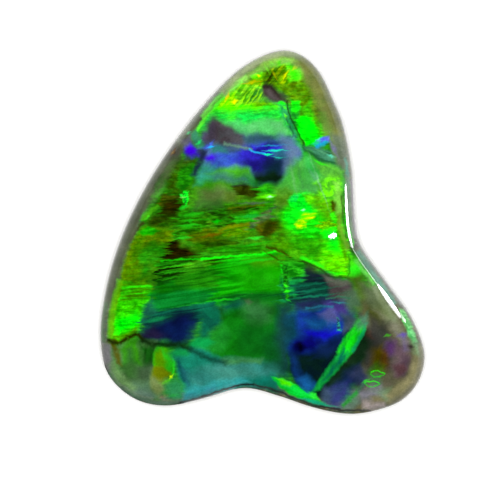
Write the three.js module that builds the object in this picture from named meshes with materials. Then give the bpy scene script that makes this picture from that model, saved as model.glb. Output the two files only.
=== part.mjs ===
// A polished free-form opal: one solid stone that lies on its flat back.
//
// Millimetres, +Z up. Seen from above, +Y runs to the stone's narrow top and +X to its right lobe.
// The origin is under the middle of the stone's box, on the surface that it lies on.
//
// The stone is a loft of closed rings. They start at the flat back, round outwards to the girdle,
// which is the widest line, roll over the shoulder and then close in over the low crown.

import * as THREE from 'three';
import { LoftGeometry } from 'three/addons/geometries/LoftGeometry.js';

// Heights above the surface that the stone lies on
const GIRDLE_Z = 1.9;
const GIRDLE_WAVE = 0.12;
const SHOULDER_RISE = 1.25;

// How far the rounding under the girdle reaches in, before the back is flat
const BACK_ROUND = 2.1;

// The exponent of the rounded edges: 2 is a quarter ellipse, and 3 runs into the flat more gently
const ROUNDNESS = 3;

// The girdle seen from above, from the narrow top down the left flank and round both lobes.
// Each row is x, y and the width of the rounded shoulder inside the girdle there.
const GIRDLE = [
  [1.44, 12.47, 1.9],
  [-1.1, 11.5, 1.7],
  [-3.64, 9.17, 1.4],
  [-6.25, 5.87, 1.3],
  [-8.31, 2.58, 1.3],
  [-9.82, -0.72, 1.3],
  [-10.78, -4.02, 1.4],
  [-11.13, -7.31, 1.6],
  [-10.58, -9.79, 1.8],
  [-8.79, -11.44, 1.8],
  [-6.66, -11.92, 1.6],
  [-3.85, -11.37, 1.4],
  [-1.24, -10.68, 1.3],
  [1.1, -11.23, 1.4],
  [3.57, -12.05, 1.6],
  [6.18, -12.47, 1.8],
  [8.79, -11.92, 2.0],
  [9.75, -11.4, 2.1],
  [10.65, -10.34, 2.1],
  [11.13, -8.55, 2.1],
  [10.37, -6.15, 2.0],
  [8.79, -3.81, 1.8],
  [7.14, -1.55, 1.7],
  [6.6, -0.6, 1.7],
  [6.35, 0.93, 1.7],
  [6.15, 4.22, 1.9],
  [5.49, 7.52, 2.1],
  [4.8, 9.17, 2.1],
  [4.0, 10.82, 2.1],
  [2.9, 12.0, 2.0],
];

// The crown is low, wide swells that run together: the middle, the narrow top and the two lobes
const SWELLS = [
  { x: -0.8, y: -3.2, height: 1.2, spread: 5.6 },
  { x: 0.4, y: 5.0, height: 0.75, spread: 4.6 },
  { x: -6.0, y: -6.0, height: 0.5, spread: 4.0 },
  { x: 6.2, y: -8.2, height: 0.8, spread: 3.8 },
];

// The point of the crown that the rings close in on, which sees the whole girdle
const CROWN_CENTRE = new THREE.Vector2(0, -4);

// How finely the surface is cut
const SLICES = 120;
const BACK_STEPS = 5;
const SHOULDER_STEPS = 8;
const CROWN_STEPS = 12;
const LAST_RING = 0.96;

const rim = new THREE.CatmullRomCurve3(
  GIRDLE.map(([x, y, shoulder]) => new THREE.Vector3(x, y, shoulder)),
  true,
  'centripetal',
);

// One place on the girdle: where it is, which way is inwards, how wide its shoulder is, how high it is.
// Inwards is half way between square to the girdle and straight to the centre, so that the rings
// don't fold over each other inside the narrow top.
function rimPlace(share) {
  const { x, y, z: shoulder } = rim.getPointAt(share);
  const along = rim.getTangentAt(share);
  const at = new THREE.Vector2(x, y);
  const square = new THREE.Vector2(-along.y, along.x).normalize();
  const toCentre = CROWN_CENTRE.clone().sub(at).normalize();
  return {
    at,
    inwards: square.add(toCentre).normalize(),
    shoulder,
    girdle: GIRDLE_Z + GIRDLE_WAVE * Math.sin(4 * Math.PI * share),
  };
}

const places = Array.from({ length: SLICES }, (_, slice) => rimPlace(slice / SLICES));

// The height of the polished face over a point of the plan, as if it had no rounded edge
function crownHeight(x, y) {
  const swell = ({ x: cx, y: cy, height, spread }) =>
    height * Math.exp(-((x - cx) ** 2 + (y - cy) ** 2) / (2 * spread ** 2));
  return GIRDLE_Z + SHOULDER_RISE + SWELLS.reduce((sum, each) => sum + swell(each), 0);
}

// A rounded edge as two shares: how far in it has come and how far up, for an even turn from 0 to 1
function roundedEdge(turn) {
  const angle = (turn * Math.PI) / 2;
  return { inset: 1 - Math.cos(angle) ** (2 / ROUNDNESS), rise: Math.sin(angle) };
}

const insetFromRim = (place, inset) => place.at.clone().addScaledVector(place.inwards, inset);

// Under the girdle, from the flat back outwards and up
function backRing(turn) {
  const edge = roundedEdge(turn);
  return places.map((place) => {
    const { x, y } = insetFromRim(place, edge.inset * BACK_ROUND);
    return new THREE.Vector3(x, y, place.girdle * (1 - edge.rise));
  });
}

// Above the girdle, over the shoulder
function shoulderRing(turn) {
  const edge = roundedEdge(turn);
  return places.map((place) => {
    const { x, y } = insetFromRim(place, edge.inset * place.shoulder);
    return new THREE.Vector3(x, y, place.girdle + edge.rise * (crownHeight(x, y) - place.girdle));
  });
}

// On the crown, from the shoulder's inner edge towards the crown's centre
function crownRing(share) {
  return places.map((place) => {
    const { x, y } = insetFromRim(place, place.shoulder).lerp(CROWN_CENTRE, share);
    return new THREE.Vector3(x, y, crownHeight(x, y));
  });
}

function stoneGeometry() {
  const sections = [];
  for (let step = BACK_STEPS; step >= 0; step--) sections.push(backRing(step / BACK_STEPS));
  for (let step = 1; step <= SHOULDER_STEPS; step++) sections.push(shoulderRing(step / SHOULDER_STEPS));
  for (let step = 1; step <= CROWN_STEPS; step++) sections.push(crownRing((LAST_RING * step) / CROWN_STEPS));

  const geometry = new LoftGeometry(sections, { capStart: true, capEnd: true });
  geometry.computeBoundingBox();
  const middle = geometry.boundingBox.getCenter(new THREE.Vector3());
  return geometry.translate(-middle.x, -middle.y, 0);
}

const opal = new THREE.Mesh(
  stoneGeometry(),
  new THREE.MeshStandardMaterial({ color: 0x2f9d2b, roughness: 0.08, metalness: 0 }),
);
opal.name = 'opal';

const stone = new THREE.Group();
stone.add(opal);

export default stone;
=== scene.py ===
# %% [markdown]
# # A polished free-form opal
#
# The object is one stone: a free-form opal, ground to a low dome and polished, lying on its flat back.
# Its shape is simple, and nearly all of its look is play of colour: patches of green, blue, violet and
# gold, each a small domain of stacked silica spheres that sends back one colour. So this lesson spends a
# short step on the shape, and most of its steps on one material.

import math

import bmesh
import bpy
import numpy as np
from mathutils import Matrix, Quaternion, Vector
from mathutils.geometry import convex_hull_2d


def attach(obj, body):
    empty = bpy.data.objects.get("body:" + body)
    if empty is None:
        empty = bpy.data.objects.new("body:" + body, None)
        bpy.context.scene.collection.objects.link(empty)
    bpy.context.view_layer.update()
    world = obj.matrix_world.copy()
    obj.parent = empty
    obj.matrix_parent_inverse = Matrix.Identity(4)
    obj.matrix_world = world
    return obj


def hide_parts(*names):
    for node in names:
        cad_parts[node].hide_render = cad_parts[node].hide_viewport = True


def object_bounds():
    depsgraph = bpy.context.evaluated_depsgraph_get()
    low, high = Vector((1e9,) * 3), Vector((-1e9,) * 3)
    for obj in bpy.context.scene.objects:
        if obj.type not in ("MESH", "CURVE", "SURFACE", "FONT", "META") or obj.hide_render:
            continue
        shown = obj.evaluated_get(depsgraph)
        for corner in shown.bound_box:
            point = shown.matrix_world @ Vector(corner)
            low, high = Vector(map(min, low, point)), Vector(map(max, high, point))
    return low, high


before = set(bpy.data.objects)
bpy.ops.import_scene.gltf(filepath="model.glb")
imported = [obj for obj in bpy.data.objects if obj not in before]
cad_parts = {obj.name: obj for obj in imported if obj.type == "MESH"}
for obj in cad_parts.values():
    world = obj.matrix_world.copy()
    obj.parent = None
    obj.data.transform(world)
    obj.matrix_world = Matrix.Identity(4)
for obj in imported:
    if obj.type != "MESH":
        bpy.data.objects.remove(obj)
cad_low, cad_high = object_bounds()
MM = 0.001
stone_length = (cad_high.y - cad_low.y) / MM
print("stone", [round(side / MM, 2) for side in cad_high - cad_low], "mm")

# %% [markdown]
# ## From the photo's pixels to millimetres
#
# The stone was photographed from straight above, so a place in the picture is a place on its face. The
# picture is 480 pixels wide, and the stone is 364 of them long. The camera stands a lens's distance above
# the girdle, the widest line of the stone. The face bulges a little towards it, so a pixel covers slightly
# less of the face than of the girdle. Everything that is placed from the photo is given in its pixels, and
# one function turns them into millimetres.

# %% The camera's place and the plan
PICTURE = 480
STONE_IN_PICTURE = 364
STONE_MIDDLE = (262.5, 231.8)
LENS = 200
SENSOR = 36
GIRDLE_HEIGHT = 1.9
FACE_HEIGHT = 4.3

pixel = stone_length / STONE_IN_PICTURE
camera_height = PICTURE * pixel * LENS / SENSOR
camera_x = (PICTURE / 2 - STONE_MIDDLE[0]) * pixel
camera_y = (STONE_MIDDLE[1] - PICTURE / 2) * pixel
face_pixel = pixel * (1 - (FACE_HEIGHT - GIRDLE_HEIGHT) / camera_height)


def plan(x, y):
    """A pixel of the picture as a place on the stone's face, in mm."""
    return Vector((camera_x + (x - PICTURE / 2) * face_pixel, camera_y + (PICTURE / 2 - y) * face_pixel))


print("one pixel is", round(pixel, 4), "mm, and the camera stands", round(camera_height, 1), "mm up")

# %% [markdown]
# ## The stone's surface
#
# A real opal is ground on a wheel, sanded and buffed, so its surface is one flowing curve with no facets.
# The CAD solid is made of flat triangles. They are welded, paired into quads and subdivided with
# Catmull-Clark, which rounds them to one smooth skin and keeps the shape. The two caps are first laid
# again as rings, because a fan of slivers would show in the polish as a star.

# %% Weld the solid and pair its triangles
CROWN_CENTRE = Vector((0.0, -4.0)) * MM
SAME_PLACE = 0.001 * MM


def welded_quads(source):
    """A bmesh of the CAD solid with shared corners and four-sided faces."""
    mesh = bmesh.new()
    mesh.from_mesh(source)
    bmesh.ops.remove_doubles(mesh, verts=mesh.verts, dist=SAME_PLACE)
    bmesh.ops.join_triangles(
        mesh, faces=mesh.faces, angle_face_threshold=math.pi, angle_shape_threshold=math.pi
    )
    return mesh


skin = welded_quads(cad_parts["opal"].data)
print(len(skin.verts), "corners,", len(skin.faces), "faces")

# %% [markdown]
# The innermost ring of the crown is found by how near the centre its corners lie, as a share of the
# distance to the edge behind them. The back's cap is every face that lies on the ground.

# %% Find the two caps
INNERMOST = 0.07
NEAR_CENTRE = 1.5 * MM
ON_TOP = 3 * MM
SAME_BEARING = 0.06


def crown_ring(mesh):
    """The corners of the ring that closes the crown."""
    places = np.array([vert.co for vert in mesh.verts])
    away = places[:, :2] - np.array(CROWN_CENTRE)
    bearing = np.arctan2(away[:, 1], away[:, 0])
    distance = np.hypot(away[:, 0], away[:, 1])
    ring = []
    for index in np.flatnonzero((distance < NEAR_CENTRE) & (places[:, 2] > ON_TOP)):
        turn = np.abs((bearing - bearing[index] + math.pi) % (2 * math.pi) - math.pi)
        if distance[index] < INNERMOST * distance[turn < SAME_BEARING].max():
            ring.append(mesh.verts[index])
    return ring


skin.verts.ensure_lookup_table()
crown_edge = crown_ring(skin)
back_edge = [vert for vert in skin.verts if vert.co.z < SAME_PLACE]
print(len(crown_edge), "corners round the crown's cap,", len(back_edge), "round the back's")

# %% Lay the caps again as rings
CROWN_RINGS = [0.5]
BACK_RINGS = [0.15, 0.3, 0.5, 0.5]


def bearing_of(vert):
    away = vert.co.xy - CROWN_CENTRE
    return math.atan2(away.y, away.x)


def lay_cap(mesh, edge, shares, upwards):
    """Takes out the faces inside an edge and closes it with rings that shrink to the crown's centre."""
    inside = set(edge)
    old = [face for face in mesh.faces if all(vert in inside for vert in face.verts)]
    bmesh.ops.delete(mesh, geom=old, context="FACES_ONLY")
    loose = [line for line in mesh.edges if not line.link_faces]
    bmesh.ops.delete(mesh, geom=loose, context="EDGES")
    outer = sorted(edge, key=bearing_of)
    middle = Vector((*CROWN_CENTRE, sum(vert.co.z for vert in outer) / len(outer)))
    for share in shares:
        inner = [mesh.verts.new(vert.co.lerp(middle, share)) for vert in outer]
        for place in range(len(outer)):
            after = (place + 1) % len(outer)
            corners = [outer[place], outer[after], inner[after], inner[place]]
            mesh.faces.new(corners if upwards else corners[::-1])
        outer = inner
    tip = mesh.verts.new(middle)
    for place in range(len(outer)):
        corners = [outer[place], outer[(place + 1) % len(outer)], tip]
        mesh.faces.new(corners if upwards else corners[::-1])


lay_cap(skin, crown_edge, CROWN_RINGS, True)
lay_cap(skin, back_edge, BACK_RINGS, False)
print(len(skin.faces), "faces after the caps were laid")

# %% [markdown]
# The crown's middle is then set on one smooth bowl, turned over: a paraboloid fitted to the corners
# around it. This takes out the last unevenness where many thin faces meet.

# %% Smooth the middle of the crown
SMOOTHED = 1.6 * MM
FITTED = 3.2 * MM
LEFT_OUT = 0.8 * MM


def smooth_crown(mesh):
    on_top = [vert for vert in mesh.verts if vert.co.z > ON_TOP]
    near = [vert for vert in on_top if (vert.co.xy - CROWN_CENTRE).length < FITTED]

    def terms(vert):
        x, y = (vert.co.xy - CROWN_CENTRE) / FITTED
        return [1, x, y, x * x, x * y, y * y, x ** 3, x * x * y, x * y * y, y ** 3]

    weights = [1.0 if (vert.co.xy - CROWN_CENTRE).length > LEFT_OUT else 0.0 for vert in near]
    rows = np.array([terms(vert) for vert in near]) * np.array(weights)[:, None]
    heights = np.array([vert.co.z for vert in near]) * np.array(weights)
    bowl = np.linalg.lstsq(rows, heights, rcond=None)[0]
    moved = 0.0
    for vert in near:
        share = min(1.0, max(0.0, 2 - 2 * (vert.co.xy - CROWN_CENTRE).length / SMOOTHED))
        target = float(np.dot(terms(vert), bowl))
        moved = max(moved, abs(target - vert.co.z) * share)
        vert.co.z += (target - vert.co.z) * share
    return moved


print("the crown's middle moved by up to", round(smooth_crown(skin) / MM, 4), "mm")

# %% [markdown]
# The skin becomes an object that stands in for the CAD solid. The modifier that rounds it stays live, so
# that the mesh is light to work with.

# %% The stone as an object
ROUNDS = 2
stone_mesh = bpy.data.meshes.new("polished_opal")
bmesh.ops.recalc_face_normals(skin, faces=skin.faces)
skin.to_mesh(stone_mesh)
skin.free()
stone_mesh.shade_smooth()
stone = bpy.data.objects.new("polished_opal", stone_mesh)
bpy.context.scene.collection.objects.link(stone)
rounding = stone.modifiers.new("rounding", "SUBSURF")
rounding.levels = ROUNDS
rounding.render_levels = ROUNDS
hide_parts("opal")
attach(stone, "root")
print("faces once subdivided:", len(stone_mesh.polygons) * 4 ** ROUNDS)

# %% [markdown]
# ## Helpers for materials
#
# Colours are written as the hex values that a colour picker shows. Blender's shaders work with linear
# light, so one function turns them. A second function adds a node with its settings and links.

# %% Colour and node helpers
def linear(hex_colour):
    """An sRGB hex colour as linear red, green, blue and alpha."""
    channels = [int(hex_colour[at:at + 2], 16) / 255 for at in (1, 3, 5)]
    return [c / 12.92 if c <= 0.04045 else ((c + 0.055) / 1.055) ** 2.4 for c in channels] + [1.0]


def add(tree, kind, settings=None, inputs=None):
    """Adds a node, sets it up, and fills its inputs: a socket is linked and a value is set."""
    node = tree.nodes.new(kind)
    for name, value in (settings or {}).items():
        setattr(node, name, value)
    for name, value in (inputs or {}).items():
        if isinstance(value, bpy.types.NodeSocket):
            tree.links.new(value, node.inputs[name])
        else:
            node.inputs[name].default_value = value
    return node


opal = bpy.data.materials.new("polished_opal")
opal.use_nodes = True
tree = opal.node_tree
tree.nodes.clear()

# %% [markdown]
# ## The plan as a shader coordinate
#
# The pattern is laid out on the plan, in mm. The third number is held at 1, so that a side of a patch is
# one dot product. Noise pushes the plan about, so that no edge is ruler straight: a little for crisp edges,
# far along the straw for edges that end in teeth, and wide for patches that melt into each other.

# %% Plan coordinates for three kinds of edge
NOISE_REACH = 0.25


def pushed(place, size, distance):
    """The plan, pushed about by noise. The size and the furthest push are each along and across, in mm.

    The noise seldom leaves its middle value, 0.5, by more than NOISE_REACH.
    """
    gain = [side / NOISE_REACH for side in distance]
    stretched = add(tree, "ShaderNodeMapping", {"vector_type": "TEXTURE"},
                    {"Vector": place, "Scale": (*size, 1)})
    noise = add(tree, "ShaderNodeTexNoise", {"noise_dimensions": "2D"},
                {"Vector": stretched.outputs[0], "Scale": 1.0, "Detail": 2.0})
    push = add(tree, "ShaderNodeVectorMath", {"operation": "MULTIPLY_ADD"},
               {0: noise.outputs["Color"], 1: (gain[0], gain[1], 0), 2: (-gain[0] / 2, -gain[1] / 2, 0)})
    moved = add(tree, "ShaderNodeVectorMath", {"operation": "ADD"},
                {0: place, 1: push.outputs[0]})
    return moved.outputs[0]


position = add(tree, "ShaderNodeTexCoord").outputs["Object"]
plan_place = add(tree, "ShaderNodeVectorMath", {"operation": "MULTIPLY_ADD"},
                 {0: position, 1: (1 / MM, 1 / MM, 0), 2: (0, 0, 1)}).outputs[0]
places = {
    "crisp": pushed(plan_place, (0.5, 0.5), (0.06, 0.06)),
    "toothed": pushed(plan_place, (2.2, 0.20), (0.45, 0.06)),
    "smoky": pushed(plan_place, (1.4, 1.4), (0.20, 0.20)),
}
print("kinds of edge:", ", ".join(places))

# %% [markdown]
# ## Shared textures
#
# Inside a patch the colour isn't even. Most of this stone shows straw: bundles of fine, nearly parallel
# growth lines, about 0.2 to 0.35 mm apart, which lie almost flat in the middle and steep near the top.
# Other patches are smoky, mottled or full of sparks. Each texture is one stretched noise between 0 and 1,
# made once and shared by all the patches that have it.

# %% Straw, smoke and sparks
def texture(turn, spacing, length, low=0.35, high=0.65, detail=3.0):
    """Noise stretched along a direction: turn in degrees, spacing across it and length along it in mm."""
    turned = add(tree, "ShaderNodeMapping", {"vector_type": "TEXTURE"},
                 {"Vector": plan_place, "Rotation": (0, 0, math.radians(turn)),
                  "Scale": (length, spacing, 1)})
    noise = add(tree, "ShaderNodeTexNoise", {"noise_dimensions": "2D"},
                {"Vector": turned.outputs[0], "Scale": 1.0, "Detail": detail, "Distortion": 0.3})
    spread = add(tree, "ShaderNodeMapRange", {"interpolation_type": "SMOOTHSTEP"},
                 {"Value": noise.outputs["Fac"], "From Min": low, "From Max": high})
    return spread.outputs[0]


textures = {
    "straw": texture(3, 0.20, 2.6),
    "rising": texture(9, 0.22, 3.0),
    "falling": texture(-14, 0.22, 2.2),
    "ribs": texture(4, 0.26, 1.1),
    "steep": texture(52, 0.22, 1.8),
    "upright": texture(80, 0.30, 2.2),
    "smoke": texture(20, 1.1, 1.6),
    "mottle": texture(-10, 0.35, 0.5),
    "sparks": texture(25, 0.14, 0.22, 0.42, 0.58),
    "dashes": texture(4, 0.16, 0.80, 0.30, 0.70),
    "blotches": texture(-20, 0.28, 0.42, 0.30, 0.70),
    "hues": texture(12, 0.22, 0.60, 0.30, 0.70),
    "clouds": texture(-15, 1.0, 1.5, 0.30, 0.70),
    "specks": texture(30, 0.11, 0.15, 0.30, 0.70),
}
print(len(textures), "textures")

# %% [markdown]
# ## One flash of colour
#
# A flash is a patch with straight sides, as the domains in opal are. A side is a line across the plan, and
# its dot product with the place tells how far inside the line a point is. The smallest of these distances
# is the distance inside the patch. The texture can shift that distance, so that an edge frays along the
# straw. The same texture mixes the flash's two colours. All of this is one node group for each number of
# sides, used again and again, which keeps the tree short to read.

# %% The node group of a flash
def new_group(sides):
    group = bpy.data.node_groups.new(f"flash with {sides} sides", "ShaderNodeTree")
    sockets = [("Under", "Color"), ("Place", "Vector"), ("Texture", "Float"), ("Colour A", "Color"),
               ("Colour B", "Color"), ("Edge", "Float"), ("Fray", "Float"), ("Strength", "Float")]
    sockets += [(f"Side {side}", "Vector") for side in range(sides)]
    for name, kind in sockets:
        group.interface.new_socket(name, in_out="INPUT", socket_type=f"NodeSocket{kind}")
    group.interface.new_socket("Over", in_out="OUTPUT", socket_type="NodeSocketColor")
    given = add(group, "NodeGroupInput").outputs

    inside = None
    for side in range(sides):
        dot = add(group, "ShaderNodeVectorMath", {"operation": "DOT_PRODUCT"},
                  {0: given["Place"], 1: given[f"Side {side}"]}).outputs["Value"]
        if inside is None:
            inside = dot
        else:
            inside = add(group, "ShaderNodeMath", {"operation": "MINIMUM"}, {0: inside, 1: dot}).outputs[0]
    frayed = add(group, "ShaderNodeMath", {"operation": "MULTIPLY_ADD"},
                 {0: given["Texture"], 1: given["Fray"], 2: inside}).outputs[0]
    outer = add(group, "ShaderNodeMath", {"operation": "MULTIPLY"}, {0: given["Edge"], 1: -1.0}).outputs[0]
    cover = add(group, "ShaderNodeMapRange", {"interpolation_type": "SMOOTHSTEP", "clamp": False},
                {"Value": frayed, "From Min": outer, "From Max": given["Edge"],
                 "To Max": given["Strength"]}).outputs[0]
    colour = add(group, "ShaderNodeMix", {"data_type": "RGBA"},
                 {0: given["Texture"], 6: given["Colour A"], 7: given["Colour B"]}).outputs[2]
    over = add(group, "ShaderNodeMix", {"data_type": "RGBA"}, {0: cover, 6: given["Under"], 7: colour})
    add(group, "NodeGroupOutput", None, {"Over": over.outputs[2]})
    return group


groups = {}


def side_lines(corners):
    """The sides of the hull of some corners, each as (across, across, offset), positive inside."""
    hull = [corners[index] for index in convex_hull_2d(corners)]
    turn = sum(a.cross(b) for a, b in zip(hull, hull[1:] + hull[:1]))
    if turn < 0:
        hull = hull[::-1]
    lines = []
    for a, b in zip(hull, hull[1:] + hull[:1]):
        along = (b - a).normalized()
        across = Vector((-along.y, along.x))
        lines.append((across.x, across.y, -across.dot(a)))
    return lines


# %% [markdown]
# Five small functions lay the flashes. Each names its patch, gives one or two colours and the patch's
# corners in the picture, and takes the chain of colours one patch further. The edge is half the width
# over which the patch fades out. Its ground colour is potch, the opal that has no play of colour.

# %% Lay a flash over the colours so far
HAZE_SPREAD = 1.6
laid = {"colour": None, "count": 0}


def flash(name, colours, outline, kind="straw", edge=1.0, fray=0.0, strength=1.0, place="crisp"):
    """Lays a patch over what is there. The outline, edge and fray are in the picture's pixels."""
    corners = [plan(x, y) for x, y in outline]
    lines = side_lines(corners)
    if len(lines) not in groups:
        groups[len(lines)] = new_group(len(lines))
    inputs = {"Under": laid["colour"], "Place": places[place], "Texture": textures[kind],
              "Colour A": linear(colours[0]), "Colour B": linear(colours[-1]),
              "Edge": edge * face_pixel, "Fray": fray * face_pixel, "Strength": strength}
    inputs.update({f"Side {side}": line for side, line in enumerate(lines)})
    node = add(tree, "ShaderNodeGroup", {"node_tree": groups[len(lines)], "label": name}, inputs)
    laid["colour"] = node.outputs[0]
    laid["count"] += 1


def toothed(name, colours, outline, kind="straw", edge=2.0, fray=1.0, strength=1.0):
    """A flash whose ends are drawn out along the straw."""
    flash(name, colours, outline, kind, edge, fray, strength, "toothed")


def haze(name, colours, outline, edge=5.0, strength=1.0, kind="smoke"):
    """A flash that lies deep in the stone, so that it has no sharp edge."""
    flash(name, colours, outline, kind, HAZE_SPREAD * edge, 0.0, strength, "smoky")


def splinter(name, colours, start, end, width, **how):
    """A flash that is pointed at both ends."""
    a, b = Vector(start), Vector(end)
    across = (b - a).orthogonal().normalized() * width / 2
    middle = (a + b) / 2
    flash(name, colours, [a, middle + across, b, middle - across], **how)


def line(name, colours, points, width, **how):
    """A line through some points, as a flash for each stretch."""
    for start, end in zip(points, points[1:]):
        a, b = Vector(start), Vector(end)
        across = (b - a).orthogonal().normalized() * width / 2
        flash(name, colours, [a - across, a + across, b + across, b - across], **how)


def tell(area):
    print(f"{area}: {laid['count']} flashes so far")


laid["colour"] = add(tree, "ShaderNodeMix", {"data_type": "RGBA"},
                     {0: textures["smoke"], 6: linear("#5c6050"), 7: linear("#74765c")}).outputs[2]
tell("ground")

# %% [markdown]
# ## Life inside the patches
#
# Seen close, no patch of opal has one colour. Each bundle of spheres is turned a little differently, so the
# hue wanders between neighbouring dashes as well as the brightness. A texture does it, by scaling what has
# been laid so far: a channel of the colour is darkened where the texture is low and lit where it is high.

# %% Vary hue and brightness by a texture
def vary(kind, low, high):
    """Scales red, green and blue by factors that run from low to high with a texture."""
    scale = add(tree, "ShaderNodeMix", {"data_type": "RGBA"},
                {0: textures[kind], 6: (*low, 1), 7: (*high, 1)}).outputs[2]
    laid["colour"] = add(tree, "ShaderNodeMix", {"data_type": "RGBA", "blend_type": "MULTIPLY"},
                         {0: 1.0, 6: laid["colour"], 7: scale}).outputs[2]


# %% [markdown]
# ## The left flank and the middle
#
# The left flank is a broken row of green and olive blocks with black gaps. The middle is a field of short
# dashes with a gold streak through it. These are laid first, deep colours before bright ones.

# %% Straw everywhere inside the rim
straw_green = ("#1c7a08", "#2f9a10")
flash("straw of the top and middle", straw_green,
      [(290, 56), (262, 62), (218, 97), (180, 147), (150, 198), (129, 246), (116, 292), (109, 340),
       (348, 300), (348, 235), (344, 178), (332, 116), (318, 82), (304, 62)], edge=4)
flash("straw of the left lobe", straw_green,
      [(112, 300), (109, 340), (114, 366), (135, 389), (166, 396), (205, 388), (245, 379),
       (290, 382), (290, 300)],
      edge=4)
flash("straw of the right lobe", straw_green,
      [(348, 242), (402, 316), (417, 350), (413, 378), (396, 394), (354, 404), (318, 396),
       (276, 380), (262, 300)],
      edge=4)
tell("straw everywhere inside the rim")

# %% Flashes of the upper left flank
haze("flank ground", ("#1c5800", "#2c7808"),
     [(150, 208), (160, 172), (176, 156), (200, 158), (196, 190), (190, 212)], 3)
flash("left of the flank", ("#284c00", "#386c08"),
      [(160, 186), (166, 172), (178, 160), (182, 176), (176, 192)],
      "mottle", 3)
flash("upper green", ("#147404", "#208a08"), [(180, 160), (196, 160), (192, 182), (184, 192), (176, 186)],
      "mottle", 2.5)
haze("olive head of the flank", ("#2c4c08", "#34540c"), [(176, 158), (194, 157), (196, 164), (176, 168)],
     2.5, 0.9)
toothed("olive row", ("#202c00", "#3c4c04"), [(158, 198), (168, 193), (180, 196), (180, 204), (160, 206)])
toothed("brown black", ("#141000", "#282400"),
        [(160, 211), (166, 204), (178, 200), (184, 205), (180, 216), (160, 217)],
        edge=3)
haze("dark below it", ("#203400", "#2c4c04"), [(146, 226), (152, 214), (180, 212), (178, 228), (152, 230)],
     3)
toothed("green in the dark", ("#184c00", "#2a6c04"),
        [(160, 222), (176, 217), (184, 220), (176, 226), (162, 227)],
        strength=0.7)
tell("flashes of the upper left flank")

# %% Flashes of the lower left flank
haze("olive flank", ("#3c7400", "#4c8400"),
     [(114, 300), (120, 268), (132, 238), (146, 226), (174, 230), (166, 262), (154, 296)], 3)
toothed("olive yellow", ("#487400", "#588000"),
        [(140, 238), (154, 231), (174, 231), (168, 244), (146, 248)], "rising")
flash("green leaf", ("#10a000", "#24b808"), [(139, 232), (148, 226), (160, 231), (152, 235), (142, 235)],
      "straw", 1.5)
haze("green patches", ("#1c7404", "#288408"), [(140, 250), (150, 243), (166, 246), (163, 272), (140, 280)],
     3)
flash("lit green patch", ("#2c9408", "#34a010"), [(138, 254), (152, 252), (158, 260), (140, 263)],
      "mottle", 2.5, 1)
haze("olive right of it", ("#2c6c04", "#347808"), [(150, 262), (163, 262), (160, 280), (150, 284)], 3)
line("lit outer edge", ("#5c8400",), [(134, 240), (127, 258), (122, 277)], 5, edge=2.5, strength=0.85)
toothed("black gap", ("#080600", "#241c00"),
        [(163, 259), (168, 246), (176, 237), (190, 239), (208, 246), (200, 251), (184, 260)],
        "ribs", 3)
toothed("brown gap", ("#201a00", "#342c00"), [(184, 243), (206, 240), (216, 244), (200, 252), (186, 256)],
        edge=2.5)
toothed("dark straw field", ("#0c2000", "#2c7400"),
        [(156, 262), (186, 258), (236, 256), (236, 284), (156, 289)],
        "rising")
toothed("black comb", ("#0a1c00", "#208408"), [(158, 262), (186, 259), (186, 274), (178, 287), (154, 288)],
        "rising", 2, 0)
haze("olive foot of the comb", ("#182c00", "#244400"), [(172, 272), (204, 270), (206, 284), (176, 286)], 3)
toothed("yellow straw field", ("#246400", "#58c418"),
        [(182, 264), (203, 260), (212, 266), (204, 275), (184, 276)],
        "rising", 2, 0, 0.9)
tell("flashes of the lower left flank")

# %% Flashes of the middle
haze("middle ground", ("#2c7400", "#409010"),
     [(180, 212), (190, 194), (245, 186), (266, 198), (266, 250), (232, 258), (180, 244)], 3)
toothed("green over the spark", ("#189c04", "#30b010"),
        [(254, 188), (262, 182), (284, 186), (278, 193), (256, 195)])
toothed("green dashes", ("#1c5400", "#249408"),
        [(178, 212), (202, 208), (206, 228), (190, 230), (178, 240)], "ribs")
toothed("dark dashes", ("#143800", "#2a8408"), [(204, 206), (262, 206), (262, 232), (212, 226)], "ribs")
toothed("green right dashes", ("#189004", "#28b010"), [(232, 212), (262, 211), (264, 222), (236, 223)],
        edge=2.5)
toothed("olive gold", ("#3c5c00", "#4c6c00"), [(186, 236), (206, 228), (222, 230), (214, 241), (192, 242)],
        "rising", 3)
toothed("yellow green of the gold", ("#3c7c00", "#588c00"),
        [(220, 233), (232, 226), (250, 226), (246, 234), (226, 238)],
        "rising", 3)
haze("dark brown between", ("#242c00", "#343400"), [(228, 210), (244, 208), (246, 216), (230, 217)], 3, 0.7)
toothed("dark olive row", ("#1c3400", "#305800"),
        [(200, 243), (214, 238), (236, 241), (240, 246), (226, 250), (204, 250)],
        strength=0.8)
toothed("green under the row", ("#1c7000", "#28a008"),
        [(206, 249), (236, 246), (262, 244), (270, 252), (232, 256)])
tell("flashes of the middle")

# %% [markdown]
# ## The right shoulder
#
# The brightest colour is on the right, where a sheet of green broken by yellow faces the light.

# %% Flashes of the right shoulder
haze("shoulder ground", ("#2c9004", "#3ca80c"),
     [(262, 204), (284, 190), (346, 184), (349, 232), (350, 262), (300, 262), (262, 250)], 3)
haze("brown haze of the shoulder", ("#4c7c20", "#548c1c"),
     [(274, 188), (290, 184), (292, 206), (276, 216)], 4)
toothed("curved grey", ("#3c6028", "#506c38"),
        [(250, 228), (262, 214), (276, 204), (272, 216), (262, 224)], "falling")
haze("dark brown spot", ("#343c00", "#465004"),
     [(255, 228), (263, 221), (278, 219), (277, 228), (270, 239), (260, 240)], 2)
haze("brown beside it", ("#384c00", "#485c00"), [(276, 222), (288, 216), (290, 232), (278, 240)], 4, 0.8)
haze("olive under it", ("#3c8400", "#449404"),
     [(268, 240), (284, 234), (294, 242), (290, 253), (272, 246)], 3)
haze("bright sheet", ("#10d808", "#20e80c"),
     [(280, 212), (290, 204), (318, 206), (345, 216), (345, 240), (300, 238), (284, 228)], 4)
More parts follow.
